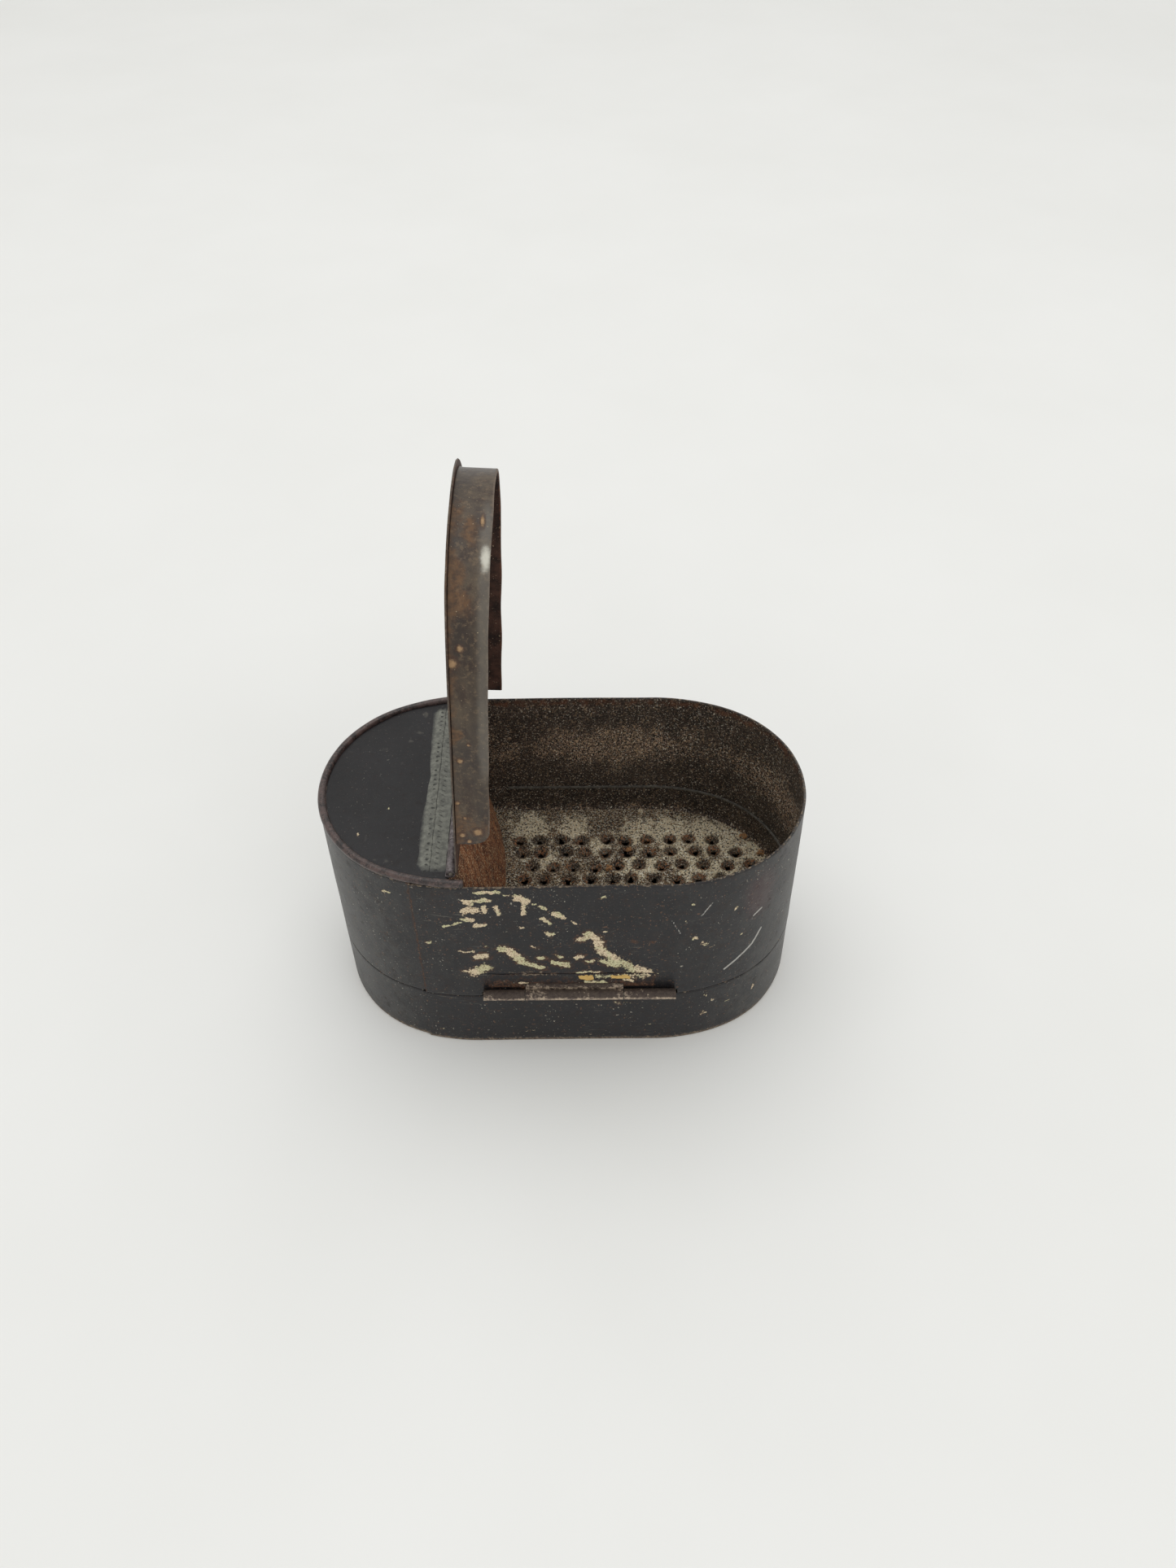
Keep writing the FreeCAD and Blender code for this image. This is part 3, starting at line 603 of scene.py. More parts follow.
# Old paint left on the front of the case. Each is a stroke: its two ends (x, z), half width and how solid
PAINT_STROKES = [
    ((-11.9, 36.3), (-8.2, 36.4), 0.24, 0.9), ((-13.3, 34.6), (-9.9, 34.5), 0.28, 0.95),
    ((-13.3, 33.9), (-12.4, 33.8), 0.25, 0.9), ((-13.5, 32.2), (-11.9, 32.6), 0.5, 1.0),
    ((-10.6, 33.2), (-10.8, 32.0), 0.3, 0.8), ((-9.2, 33.2), (-8.7, 31.6), 0.3, 0.85),
    ((-13.7, 30.6), (-12.3, 30.3), 0.32, 0.95), ((-12.1, 29.1), (-11.0, 29.1), 0.3, 0.95),
    ((-16.4, 28.6), (-14.1, 29.6), 0.2, 0.75), ((-7.8, 35.8), (-6.6, 35.7), 0.2, 0.75),
    ((-6.0, 35.1), (-4.8, 34.4), 0.45, 1.0), ((-5.4, 34.0), (-5.2, 31.6), 0.32, 0.85),
    ((-4.0, 33.8), (-3.7, 33.8), 0.2, 0.8), ((-3.3, 33.2), (-2.2, 32.4), 0.2, 0.8),
    ((-0.8, 31.4), (0.1, 30.6), 0.34, 1.0), ((-2.7, 30.6), (-1.9, 29.2), 0.3, 0.85),
    ((-6.1, 28.6), (-5.7, 28.6), 0.2, 0.8), ((1.2, 30.0), (2.1, 29.2), 0.16, 0.85),
    ((-2.3, 27.0), (-1.3, 26.8), 0.25, 0.9), ((-19.4, 24.6), (-18.8, 25.0), 0.25, 0.7),
    ((-15.0, 23.1), (-12.9, 23.0), 0.14, 0.7), ((-12.4, 21.8), (-11.2, 22.0), 0.42, 1.0),
    ((-11.1, 24.2), (-10.9, 24.3), 0.16, 0.7), ((-14.8, 18.3), (-14.1, 18.4), 0.16, 0.9),
    ((-13.1, 18.2), (-11.2, 19.2), 0.8, 0.85), ((-8.7, 23.6), (-7.7, 23.2), 0.55, 1.05),
    ((-7.7, 23.1), (-6.2, 20.8), 0.55, 1.05), ((-6.2, 20.6), (-3.3, 19.0), 0.36, 1.0),
    ((-4.5, 24.2), (-3.9, 23.6), 0.16, 0.75), ((-3.6, 21.3), (-3.0, 21.3), 0.27, 0.95),
    ((-1.2, 21.9), (-0.6, 21.6), 0.24, 0.85), ((-1.5, 20.4), (0.4, 19.6), 0.34, 1.0),
    ((1.8, 21.3), (2.6, 21.6), 0.32, 0.9), ((3.3, 20.4), (4.3, 20.7), 0.2, 0.85),
    ((1.8, 17.9), (5.1, 17.8), 0.22, 0.8), ((2.3, 25.6), (3.5, 26.0), 0.34, 1.0),
    ((3.5, 26.8), (4.7, 25.6), 0.45, 1.05), ((4.7, 25.8), (5.0, 23.7), 0.45, 1.05),
    ((5.2, 23.0), (6.9, 21.4), 0.65, 0.8), ((5.4, 20.4), (7.5, 19.2), 0.34, 0.9),
    ((6.9, 20.7), (9.7, 18.8), 0.85, 0.72), ((9.7, 18.8), (12.4, 17.2), 0.85, 0.72),
    ((-24.6, 33.6), (-24.0, 33.6), 0.3, 0.9), ((5.6, 35.0), (5.9, 35.1), 0.28, 0.7),
    ((5.7, 27.3), (6.0, 27.3), 0.2, 0.75), ((18.0, 32.8), (18.2, 32.8), 0.2, 0.85),
    ((16.8, 29.6), (17.0, 29.3), 0.12, 0.75), ((18.4, 25.1), (18.8, 24.8), 0.22, 0.9),
    ((19.6, 23.8), (20.2, 23.3), 0.3, 0.56), ((20.9, 22.2), (21.1, 22.2), 0.2, 0.5),
    ((23.9, 29.4), (24.2, 29.7), 0.14, 0.75), ((25.5, 22.8), (25.7, 22.9), 0.16, 0.7),
]
LEAF_STROKES = [
    ((3.2, 15.5), (5.8, 15.3), 0.3, 0.9), ((8.9, 15.9), (9.7, 15.6), 0.3, 0.95),
    ((5.0, 16.9), (12.0, 17.0), 0.5, 0.62), ((-6.6, 15.3), (-5.4, 15.4), 0.2, 0.8),
]
TRAY_STROKES = [
    ((7.0, 10.2), (9.6, 9.9), 0.3, 0.46), ((16.2, 10.4), (16.8, 10.3), 0.12, 0.62),
    ((20.6, 10.3), (20.8, 10.2), 0.13, 0.75), ((22.0, 8.6), (22.2, 8.5), 0.14, 0.75),
    ((23.8, 6.7), (24.6, 6.9), 0.2, 0.62), ((25.8, 7.2), (26.1, 7.1), 0.12, 0.62),
    ((28.4, 7.4), (28.5, 6.6), 0.14, 0.7), ((20.3, 5.4), (21.0, 5.7), 0.3, 0.5),
    ((7.4, 4.2), (7.7, 4.2), 0.1, 0.7), ((11.9, 4.0), (12.5, 4.1), 0.11, 0.66),
    ((-6.0, 2.6), (-5.0, 2.7), 0.1, 0.66), ((-19.4, 2.9), (-18.8, 2.7), 0.2, 0.6),
    ((2.2, 1.6), (6.4, 1.5), 0.1, 0.56),
]
YELLOW_STROKES = [((2.6, 16.6), (3.9, 16.6), 0.4, 1.05), ((7.0, 16.8), (9.0, 16.8), 0.36, 1.05)]
SCRATCHES = [
    ((23.4, 15.6), (25.7, 17.4), 0.13, 1.1), ((25.7, 17.4), (27.4, 18.9), 0.13, 1.1),
    ((27.4, 18.9), (28.6, 21.4), 0.12, 1.0), ((27.1, 25.8), (28.2, 26.4), 0.12, 1.0),
    ((19.2, 30.0), (20.7, 32.4), 0.12, 0.62), ((16.4, 26.6), (15.2, 29.6), 0.1, 0.6),
]
# Stains on the front of both walls: (x, z) and size
STAIN_SPOTS = [
    ((10.0, 25.0), 0.8), ((12.4, 24.8), 0.8), ((28.8, 23.4), 1.2), ((7.8, 10.0), 1.2), ((20.7, 5.6), 0.8),
]


def stroke_mark(x, z, strokes, wander=0.8):
    """How much each place is covered by paint strokes, with wandering outlines that fall off gently."""
    place = np.stack([x, 0 * x, z], axis=-1)
    x = x + wander * (0.5 * ripple(place, 1.5, 3.3) + 0.3 * ripple(place, 0.6, 1.9))
    z = z + wander * (0.5 * ripple(place, 1.5, 8.1) + 0.3 * ripple(place, 0.6, 6.4))
    mark = np.zeros(np.shape(x))
    for (x0, z0), (x1, z1), width, solid in strokes:
        run = max((x1 - x0) ** 2 + (z1 - z0) ** 2, 1e-9)
        share = np.clip(((x - x0) * (x1 - x0) + (z - z0) * (z1 - z0)) / run, 0, 1)
        away = np.hypot(x - x0 - share * (x1 - x0), z - z0 - share * (z1 - z0))
        mark = np.maximum(mark, solid * np.clip(1.15 - 0.48 * away / width, 0, 1))
    return mark


def spot_mark(x, z, spots):
    """How much each place is covered by round spots."""
    mark = np.zeros(np.shape(x))
    for (sx, sz), size in spots:
        mark = np.maximum(mark, np.exp(-((x - sx) ** 2 + (z - sz) ** 2) / size ** 2))
    return mark


def wall_dent(points):
    """Hand-made sheet is never true: shallow swells in the walls."""
    return 0.1 * ripple(points, 15.0, 3.1) + 0.03 * ripple(points, 4.0, 7.7)


def stations(extra):
    """Distances round the outline: even ones, and extra ones where the wall needs them."""
    even = np.arange(0, PLAN.length, 0.6)
    return np.sort(np.concatenate([even, np.mod(extra, PLAN.length)]))


def lap_step(distance):
    """The lapped end of the sheet stands proud just right of the seam and fades along the wall."""
    past = distance - PLAN.where(SEAM_X)
    return np.where(past > 0, 0.28 * np.exp(-np.clip(past, 0, 40) / 3.5), 0.0)


def case_wall():
    """The case's wall, with a notch over the hinge, a lapped seam and hemmed edges."""
    seam = PLAN.where(SEAM_X)
    left, right = NOTCH
    sharp = [seam - EDGE, seam + EDGE, left, left + EDGE, right, right + EDGE]
    painted = np.arange(-17.0, 19.0, 0.24)
    scratched = np.arange(PLAN.where(19.0), PLAN.where(29.5), 0.15)
    along = stations(np.concatenate([sharp, painted, scratched]))
    steps = 104
    depth, height, nudge = rounded_loop(steps, WALL)
    x, y = PLAN.at(along)[:2]
    in_notch = (y < 0) & (x > left + EDGE / 2) & (x < right + EDGE / 2)
    low = np.where(in_notch, CASE_FOOT + NOTCH_HEIGHT, CASE_FOOT)[:, None]
    z = low + (CASE_TOP - low) * height + nudge
    out = lap_step(along)[:, None] - depth + wall_dent(around(PLAN, along, 0 * z, z))
    loops = around(PLAN, along, out, z)
    piece = swept_piece("case_shell", loops, True, case_marks(loops, along, seam), inner_face(steps))
    return dress(piece, [JAPAN, INSIDE], "black_japan", "case", "case_wall", "case_seam_strip")


def case_marks(loops, along, seam):
    """Where the case's wall is painted, rusty, worn, dusty and scratched. Its top edge also takes a painted
    highlight, and its curved ends a painted sheen.
    """
    x, y, z = loops[..., 0], loops[..., 1], loops[..., 2]
    front = (y < -15).astype(float)
    facing = (y < 0).astype(float)
    low_paint = [(a, b, w + 0.5, s) for a, b, w, s in PAINT_STROKES if a[1] < 27 and a[0] < 15]
    halo = 0.75 * np.clip(stroke_mark(x, z, low_paint), 0, 1) * front
    hinge_dirt = near(z, 15.6, 2.4) * np.clip(1.3 - np.abs((x + 1) / 13), 0, 1) * front
    hinge_ridge = 0.54 * near(z, 17.9, 0.7) * near(x, -5.0, 5.5) * front
    seam_rust = 0.72 * near(along, seam - 0.05, 0.4)[:, None]
    seam_wear = 0.45 * near(along, seam, 0.2)[:, None]
    rust = highest(halo, hinge_dirt, seam_rust, 0.7 * spot_mark(x, z, STAIN_SPOTS) * front)
    # Lighter along the top edge, partly wear and partly a painted highlight, and a painted sheen under the
    # rim on the left of the front
    edge_wear_and_highlight = 0.62 * near(z, CASE_TOP + 0.1, 0.26) + 0.25 * near(z, CASE_TOP - 0.6, 0.6) * (x < -2) * front
    foot_wear = 0.45 * near(z, CASE_FOOT, 0.35)
    dust = near(z, 27.0, 5.0) * (0.8 + 0.3 * np.sin(x / 5)) + 0.3 * near(z, 35.5, 1.5)
    # Grows towards the curved ends, where it lays a painted sheen over the japanning
    ends = np.clip((np.abs(x) - 20) / 14, 0, 1) ** np.where(x > 0, 2.4, 1.3)
    return {
        "paint": stroke_mark(x, z, PAINT_STROKES) * facing,
        "yellow": stroke_mark(x, z, YELLOW_STROKES) * front,
        "rust": np.where(y > 0, 0.6 * near(z, 36.4, 1.2), rust),
        "wear": highest(edge_wear_and_highlight, foot_wear, seam_wear, hinge_ridge),
        "dust": np.clip(dust, 0, 1),
        "bloom_and_sheen": np.clip(0.1 + ends, 0, 1) * np.clip((np.abs(x) - 8) / 8, 0, 1),
        "specks": np.ones_like(z),
        "scratch": stroke_mark(x, z, SCRATCHES, 0.1) * facing,
        "maroon": near(x, 27.8, 3.0) * near(z, 30.0, 6.0) * facing,
    }


def tray_wall():
    """The tray's wall, rolled in a little at the foot."""
    seam_shift = 0.6
    seam = PLAN.where(SEAM_X - seam_shift)
    fine = np.arange(-17.0, PLAN.where(29.0), 0.3)
    along = stations(np.concatenate([[seam - EDGE, seam + EDGE], fine]))
    steps = 44
    depth, height, nudge = rounded_loop(steps, WALL)
    z = TRAY_TOP * height[None, :] + nudge[None, :] + 0 * along[:, None]
    tuck = 0.16 * near(z, 0.0, 0.6)
    dent = 0.7 * wall_dent(around(PLAN, along, 0 * z, z - 6))
    out = 0.8 * lap_step(along + seam_shift)[:, None] - depth - tuck + dent
    loops = around(PLAN, along, out, z)
    piece = swept_piece("tray_shell", loops, True, tray_marks(loops, along, seam), inner_face(steps))
    return dress(piece, [JAPAN, INSIDE], "black_japan", "base", "tray_wall", "tray_seam_strip")


def tray_marks(loops, along, seam):
    """Where the tray's wall is rusty, worn and flecked, with a painted sheen growing towards its ends."""
    x, y, z = loops[..., 0], loops[..., 1], loops[..., 2]
    facing = y < 0
    foot = 0.8 * near(z, 0.1, 0.5) + 0.4 * near(z, 0.9, 0.9)
    top = 0.4 * near(z, TRAY_TOP, 0.3)
    ends = 0.35 * near(z, 1.5, 2.2) * (np.abs(PLAN.at(along)[0]) > 18)[:, None]
    stains = spot_mark(x, z, STAIN_SPOTS) * facing
    return {
        "wear": highest(foot, top, 0.45 * near(along, seam, 0.25)[:, None] + 0.5 * stains),
        "rust": highest(foot * 0.8, ends, 0.6 * stains),
        # Grows towards the ends: a painted sheen
        "bloom_and_sheen": np.clip((np.abs(x) - 20) / 14, 0, 0.8),
        "specks": np.full_like(z, 0.9),
        "paint": stroke_mark(x, z, TRAY_STROKES) * facing,
        "dust": np.full_like(z, 0.5),
    }


def half_outline(plan, inset, start, end, count):
    """Places on the outline, moved in by inset, from one distance to another."""
    x, y, nx, ny = plan.at(np.linspace(start, end, count))
    return np.column_stack([x - nx * inset, y - ny * inset])


def cover_edge():
    """The fixed cover's outline: the left end of the plan and the straight edge by the hinge."""
    right = COVER_HIGH[0]
    curve = half_outline(PLAN, SHEET, PLAN.where(right, back=True), PLAN.where(right), 120)
    curve[0, 0] = curve[-1, 0] = right
    straight = np.linspace(curve[-1], curve[0], 40)[1:-1]
    return np.vstack([curve, straight])


COVER_FLECKS = [((-24.4, -2.0), 0.3), ((-28.3, -9.4), 0.42), ((-24.6, -4.6), 0.2)]


def fixed_cover():
    def lift(points):
        middle = near(points[..., 0], -24.0, 8.0) * near(points[..., 1], 0.0, 12.0)
        return 0.12 * middle + 0.07 * ripple(points, 9.0, 1.3) + 0.02 * ripple(points, 2.5, 4.4)

    def marks(loops):
        x, y = loops[..., 0], loops[..., 1]
        out = np.hypot(x + NOSE_X, y)
        return {
            "wear": 0.3 * np.clip(out - 17.0, 0, 1) * (x < -17),
            "paint": 0.8 * spot_mark(x, y, COVER_FLECKS),
            "specks": np.full_like(x, 0.12),
        }

    piece = disc_piece("cover_sheet", cover_edge(), COVER_LOW[2], COVER_HIGH[2], lift, marks)
    return dress(piece, [JAPAN], "black_japan", "case", "fixed_cover")


def cover_rim():
    """The cover's edge, rolled over the wall round a wire, and pinched at both ends."""
    along = np.linspace(PLAN.where(-STRAIGHT_HALF, back=True), PLAN.where(-STRAIGHT_HALF), 220)
    x, y = PLAN.at(along)[:2]
    angle = np.linspace(0, 2 * math.pi, 17)[:-1]
    middle = np.stack([x, y, np.full_like(x, RIM_Z)], axis=-1)
    radius = 0.58 + 0.03 * ripple(middle, 2.5, 2.2) + 0.04 * ripple(middle, 7.0, 9.1)
    radius[[0, -1]] *= 0.75
    radius = radius[:, None]
    loops = around(PLAN, along, radius * np.cos(angle) - RIM_INSET, RIM_Z + radius * np.sin(angle))
    crown = np.clip(np.sin(angle - 2.2), 0, 1)
    wear = crown * (0.3 + 0.5 * (y < 0))[:, None]
    piece = swept_piece("rolled_rim", loops, False, {"wear": wear}, None, 60)
    return dress(piece, [RIM], "rim_brown", "case", "cover_rim")


# Rolled hinges

def rolled_section(leaf, radius, thickness, wrap=300, steps=26):
    """Section of a leaf that ends in a knuckle: along the leaf, and up from its underside. The knuckle's
    middle is at (0, radius)."""
    turn = np.radians(np.linspace(-90, -90 + wrap, steps))
    middle = radius - thickness / 2
    outer = [(-leaf, 0.0)] + [(radius * math.cos(a), radius + radius * math.sin(a)) for a in turn]
    inner_radius = middle - thickness / 2
    inner = [(inner_radius * math.cos(a), radius + inner_radius * math.sin(a)) for a in turn[::-1]]
    inner += [(-leaf, thickness)]
    return np.array(outer + inner)


def knuckle(name, section, place, start, end, cuts=14, soil=None):
    """Sweeps a rolled section along its hinge. place turns a point of the section, and a distance along
    the hinge, into x, y, z. soil adds dirt."""
    loops = np.array([[place(u, w, step) for u, w in section] for step in np.linspace(start, end, cuts)])
    loops[..., 2] += 0.035 * ripple(loops, 1.8, 5.5)
    dirt = np.clip(0.2 + 0.4 * ripple(loops, 3.0, 8.8), 0, 1)
    if soil:
        dirt = np.clip(dirt + soil(loops), 0, 1)
    return swept_piece(name, loops, False, {"dirt": dirt}, None, 50)


def on_cover(u, w, y):
    """The cover's leaf comes to the knuckle from the left."""
    return (LID_AXIS[0] + u, y, LID_AXIS[2] - LID_BARREL + w)


def on_lid(u, w, y):
    """The lid's leaf comes to the knuckle from the right, while the lid is closed."""
    return (LID_AXIS[0] - u, y, LID_AXIS[2] - LID_BARREL + w)


def cover_hinge():
    """The pale strip along the hinge and the barrel's two outer knuckles."""
    section = rolled_section(leaf=0.75, radius=LID_BARREL, thickness=LEAF)
    inner_end = LID_KNUCKLE_HALF + KNUCKLE_GAP
    ends = [(-LID_BARREL_HALF, -inner_end), (inner_end, LID_BARREL_HALF)]
    for k, (start, end) in enumerate(ends):
        piece = knuckle(f"cover_knuckle_{k + 1}", section, on_cover, start, end)
        dress(piece, [BARREL], "tinplate", "case")
    return dress(hinge_strip(), [STRIP], "tinplate", "case", "cover_hinge_leaf")


def strip_dents(share, x, y):
    """Dents in rows along the strip: a wide row, two fine ones and one of slanting dashes. share is how far
    across the strip each place is."""
    plan = np.stack([x, y, 0 * x], axis=-1)
    jitter = 0.12 * ripple(plan, 1.3, 4.0)

    def turn(place, pitch):
        return 2 * math.pi * (place / pitch + 2 * jitter)

    beat = np.clip(0.1 + np.cos(turn(y, 0.95)), 0, 1) * np.clip(0.9 + 0.9 * ripple(plan, 1.1, 9.0), 0.2, 1.2)
    dots = near(share + 0.3 * jitter, 0.36, 0.055) * beat + 0.7 * near(share + 0.2 * jitter, 0.5, 0.025)
    dots = dots + 0.5 * near(share + 0.3 * jitter, 0.43, 0.03) * np.clip(np.sin(turn(y, 0.62)), 0, 1)
    dashes = 0.75 * near(share, 0.7, 0.13) * np.clip(np.cos(turn(y + 0.5 * x, 0.98)), 0, 1)
    return dots, dashes


def hinge_strip():
    """The strip beside the hinge, rising from the cover to its right edge."""
    left = box_mm("cover_hinge_leaf")[0][0]
    rows = np.linspace(-STRIP_HALF, STRIP_HALF, 300)
    cross = np.linspace(left, STRIP_RIGHT, 46)
    y, x = np.meshgrid(rows, cross, indexing="ij")
    share = (x - left) / (STRIP_RIGHT - left)
    plan = np.stack([x, y, 0 * x], axis=-1)
    dots, dashes = strip_dents(share, x, y)
    fade = np.clip(1.05 - share / 0.24, 0, 1)
    fade = fade + np.clip((-15.0 - y) / 1.6, 0, 1) + np.clip((y - 15.2) / 1.4, 0, 1)
    base = COVER_HIGH[2] + 0.03
    rise = 0.24 * np.clip(share * 3, 0, 1) * np.clip((STRIP_HALF - np.abs(y)) / 1.2, 0, 1)
    z = base - 0.06 + rise + 0.03 * ripple(plan, 2.0, 6.0) - 0.04 * dots
    x = x + 0.08 * ripple(plan, 0.9, 2.0) * (share > 0.97)
    upper = np.stack([x, y, z], axis=-1)
    lower = np.stack([x, y, np.full_like(z, base - 0.1)], axis=-1)
    marks = {
        "dent": two_faces(np.clip(dots + dashes, 0, 1), np.zeros_like(x)),
        "fade": two_faces(np.clip(fade, 0, 1), np.ones_like(x)),
    }
    return swept_piece("cover_hinge_strip", two_faces(upper, lower), False, marks, None, 60)


def lid_hinge():
    """The lid's leaf and long middle knuckle."""
    section = rolled_section(leaf=4.0, radius=LID_BARREL, thickness=LEAF)
    piece = knuckle("lid_knuckle", section, on_lid, -LID_KNUCKLE_HALF, LID_KNUCKLE_HALF, 50)
    return dress(swing_open(piece), [BARREL], "tinplate", "lid", "lid_hinge_leaf")


def on_case_front(u, w, x):
    """The case's leaf hangs down its front into the knuckle."""
    return (x, BASE_AXIS[1] + BASE_BARREL - w, BASE_AXIS[2] - u)


def on_tray_edge(u, w, x):
    """The tray's leaf comes up from the tray's edge into the knuckle."""
    return (x, BASE_AXIS[1] + BASE_BARREL - w, BASE_AXIS[2] + u)


def hinge_soil(loops):
    """Dirt lies on the upper half of the front hinge."""
    return np.clip((loops[..., 2] - BASE_AXIS[2] - 0.05) / 0.5, -0.25, 0.6)


def base_hinge():
    """The front hinge: two knuckles of the tray's leaf and one of the case's leaf between them."""
    left, right = CASE_KNUCKLE
    tray_low, tray_high = box_mm("tray_hinge_leaf")
    outer = rolled_section(BASE_AXIS[2] - TRAY_TOP, BASE_BARREL, LEAF)
    spans = [(tray_low[0], left - KNUCKLE_GAP), (right + KNUCKLE_GAP, tray_high[0])]
    for k, (start, end) in enumerate(spans):
        piece = knuckle(f"tray_knuckle_{k + 1}", outer, on_tray_edge, start, end, 30, hinge_soil)
        nodes = ["tray_hinge_leaf"] if k == 0 else []
        dress(piece, [HINGE], "tinplate", "base", *nodes)
    dress(tray_leaf(tray_low, tray_high), [SOLDER], "tinplate", "base")
    middle = rolled_section(leaf=1.75, radius=BASE_BARREL, thickness=LEAF)
    piece = knuckle("case_knuckle", middle, on_case_front, left, right, 50, hinge_soil)
    dress(piece, [HINGE], "tinplate", "case", "case_hinge_leaf")
    dress(case_leaf(), [JAPAN], "black_japan", "case")


def tray_leaf(low, high):
    """The flat of the tray's leaf, inside its front wall."""
    x = np.linspace(low[0], STRAIGHT_HALF, 40)
    z = np.linspace(low[2], TRAY_TOP + LEAF, 8)
    return flat_leaf("tray_leaf", x, z, high[1] - LEAF, high[1])


def case_leaf():
    """The flat of the case's leaf, painted over on the front of the case."""
    low, high = box_mm("case_hinge_leaf")
    x = np.linspace(low[0], high[0], 110)
    z = np.linspace(BASE_AXIS[2] + BASE_BARREL + 0.15, high[2], 16)
    return flat_leaf("case_leaf", x, z, -HALF_WIDTH - 0.3 * LEAF, -HALF_WIDTH + 0.05)


def flat_leaf(name, x, z, front, back):
    """An upright strip of sheet with uneven edges. It runs along X."""
    grid_x, grid_z = np.meshgrid(x, z, indexing="ij")
    wave = 0.05 * ripple(np.stack([grid_x, 0 * grid_x, grid_z], axis=-1), 2.2, 3.3)
    face = np.stack([grid_x, front + wave, grid_z + 4 * wave * (grid_z == z[-1])], axis=-1)
    rear = np.stack([grid_x, np.full_like(grid_x, back), grid_z], axis=-1)
    loops = two_faces(face, rear)
    place_x, place_z = loops[..., 0], loops[..., 2]
    rust = 0.42 + 0.3 * near(place_z, z[0], 1.2)
    marks = {
        "wear": 0.62 * near(place_z, z[-1], 0.45) * near(place_x, -4.5, 5.5),
        "rust": rust,
        "dirt": rust,
        "specks": np.full_like(rust, 0.6),
        "paint": stroke_mark(place_x, place_z, LEAF_STROKES),
        "yellow": stroke_mark(place_x, place_z, YELLOW_STROKES),
    }
    return swept_piece(name, loops, False, marks)


# Partition and rasp

def partition():
    """The rusty sheet between the chambers, straight under the hinge and bowed at its foot."""
    low, high = box_mm("partition")
    y, rise = np.meshgrid(np.linspace(low[1], high[1], 74), np.linspace(0, 1, 30), indexing="ij")
    foot_x = high[0] - FOOT_BOW * (np.abs(y) / high[1]) ** 3
    x = foot_x + (PARTITION_TOP_X - foot_x) * rise
    z = low[2] + (high[2] - low[2]) * rise
    wave = 0.16 * ripple(np.stack([x, y, z], axis=-1), 5.0, 2.0)
    face = np.stack([x + wave, y, z], axis=-1)
    shade = 0.55 * near(rise, 1.0, 0.3) + 0.6 * near(rise, 0.75, 0.2) * (y < -12)
    # A pale line along the foot
    wear = 0.55 * near(rise, 0.0, 0.02)
    marks = {"shade": two_faces(shade, shade), "wear": two_faces(wear, wear)}
    loops = two_faces(face, face - np.array([SHEET, 0, 0]))
    piece = swept_piece("partition_sheet", loops, False, marks)
    return dress(piece, [RUST], "rusty_sheet", "case", "partition")


# How far each row of holes is shifted along, from the front row to the back one
ROW_SHIFTS = (0.0, 1.75, 0.2, 1.6, 0.4, 0.0, 1.3, -0.5, -0.8)


def plate_left(y):
    """The rasp plate's left edge, which follows the partition's foot."""
    return PLATE_EDGE_X - FOOT_BOW * (y / HALF_WIDTH) ** 2


def punched_places():
    """The rasp's holes (x, y, radius), in rows, each a little off where it was aimed."""
    chance = random.Random(5)
    places = []
    for row, shift in enumerate(ROW_SHIFTS):
        y = (row - len(ROW_SHIFTS) // 2) * HOLE_PITCH_Y
        for column in range(-6, 10):
            x = column * HOLE_PITCH_X + shift
            if inside_plan(x, y, 3.0) and x > plate_left(y) + 2.4:
                off_x, off_y = chance.uniform(-0.4, 0.4), chance.uniform(-0.35, 0.35)
                places.append((x + off_x, y + off_y, chance.uniform(0.34, 0.52)))
    return places


# Where pale grit has gathered on the plate: (x, y) and size
DUST_HEAPS = [
    ((-6.0, 14.4), 2.6), ((1.0, 14.2), 2.2), ((12.0, 13.0), 2.6), ((17.0, 13.0), 3.0), ((22.5, 12.2), 3.2),
    ((26.5, 10.6), 3.2), ((30.0, 8.4), 2.6), ((17.5, 8.9), 1.8), ((10.5, 5.0), 1.8), ((20.0, 5.0), 2.0),
    ((5.5, 9.6), 1.4), ((14.0, 5.4), 1.2), ((25.0, 4.0), 2.4), ((-3.0, 6.5), 1.2),
]


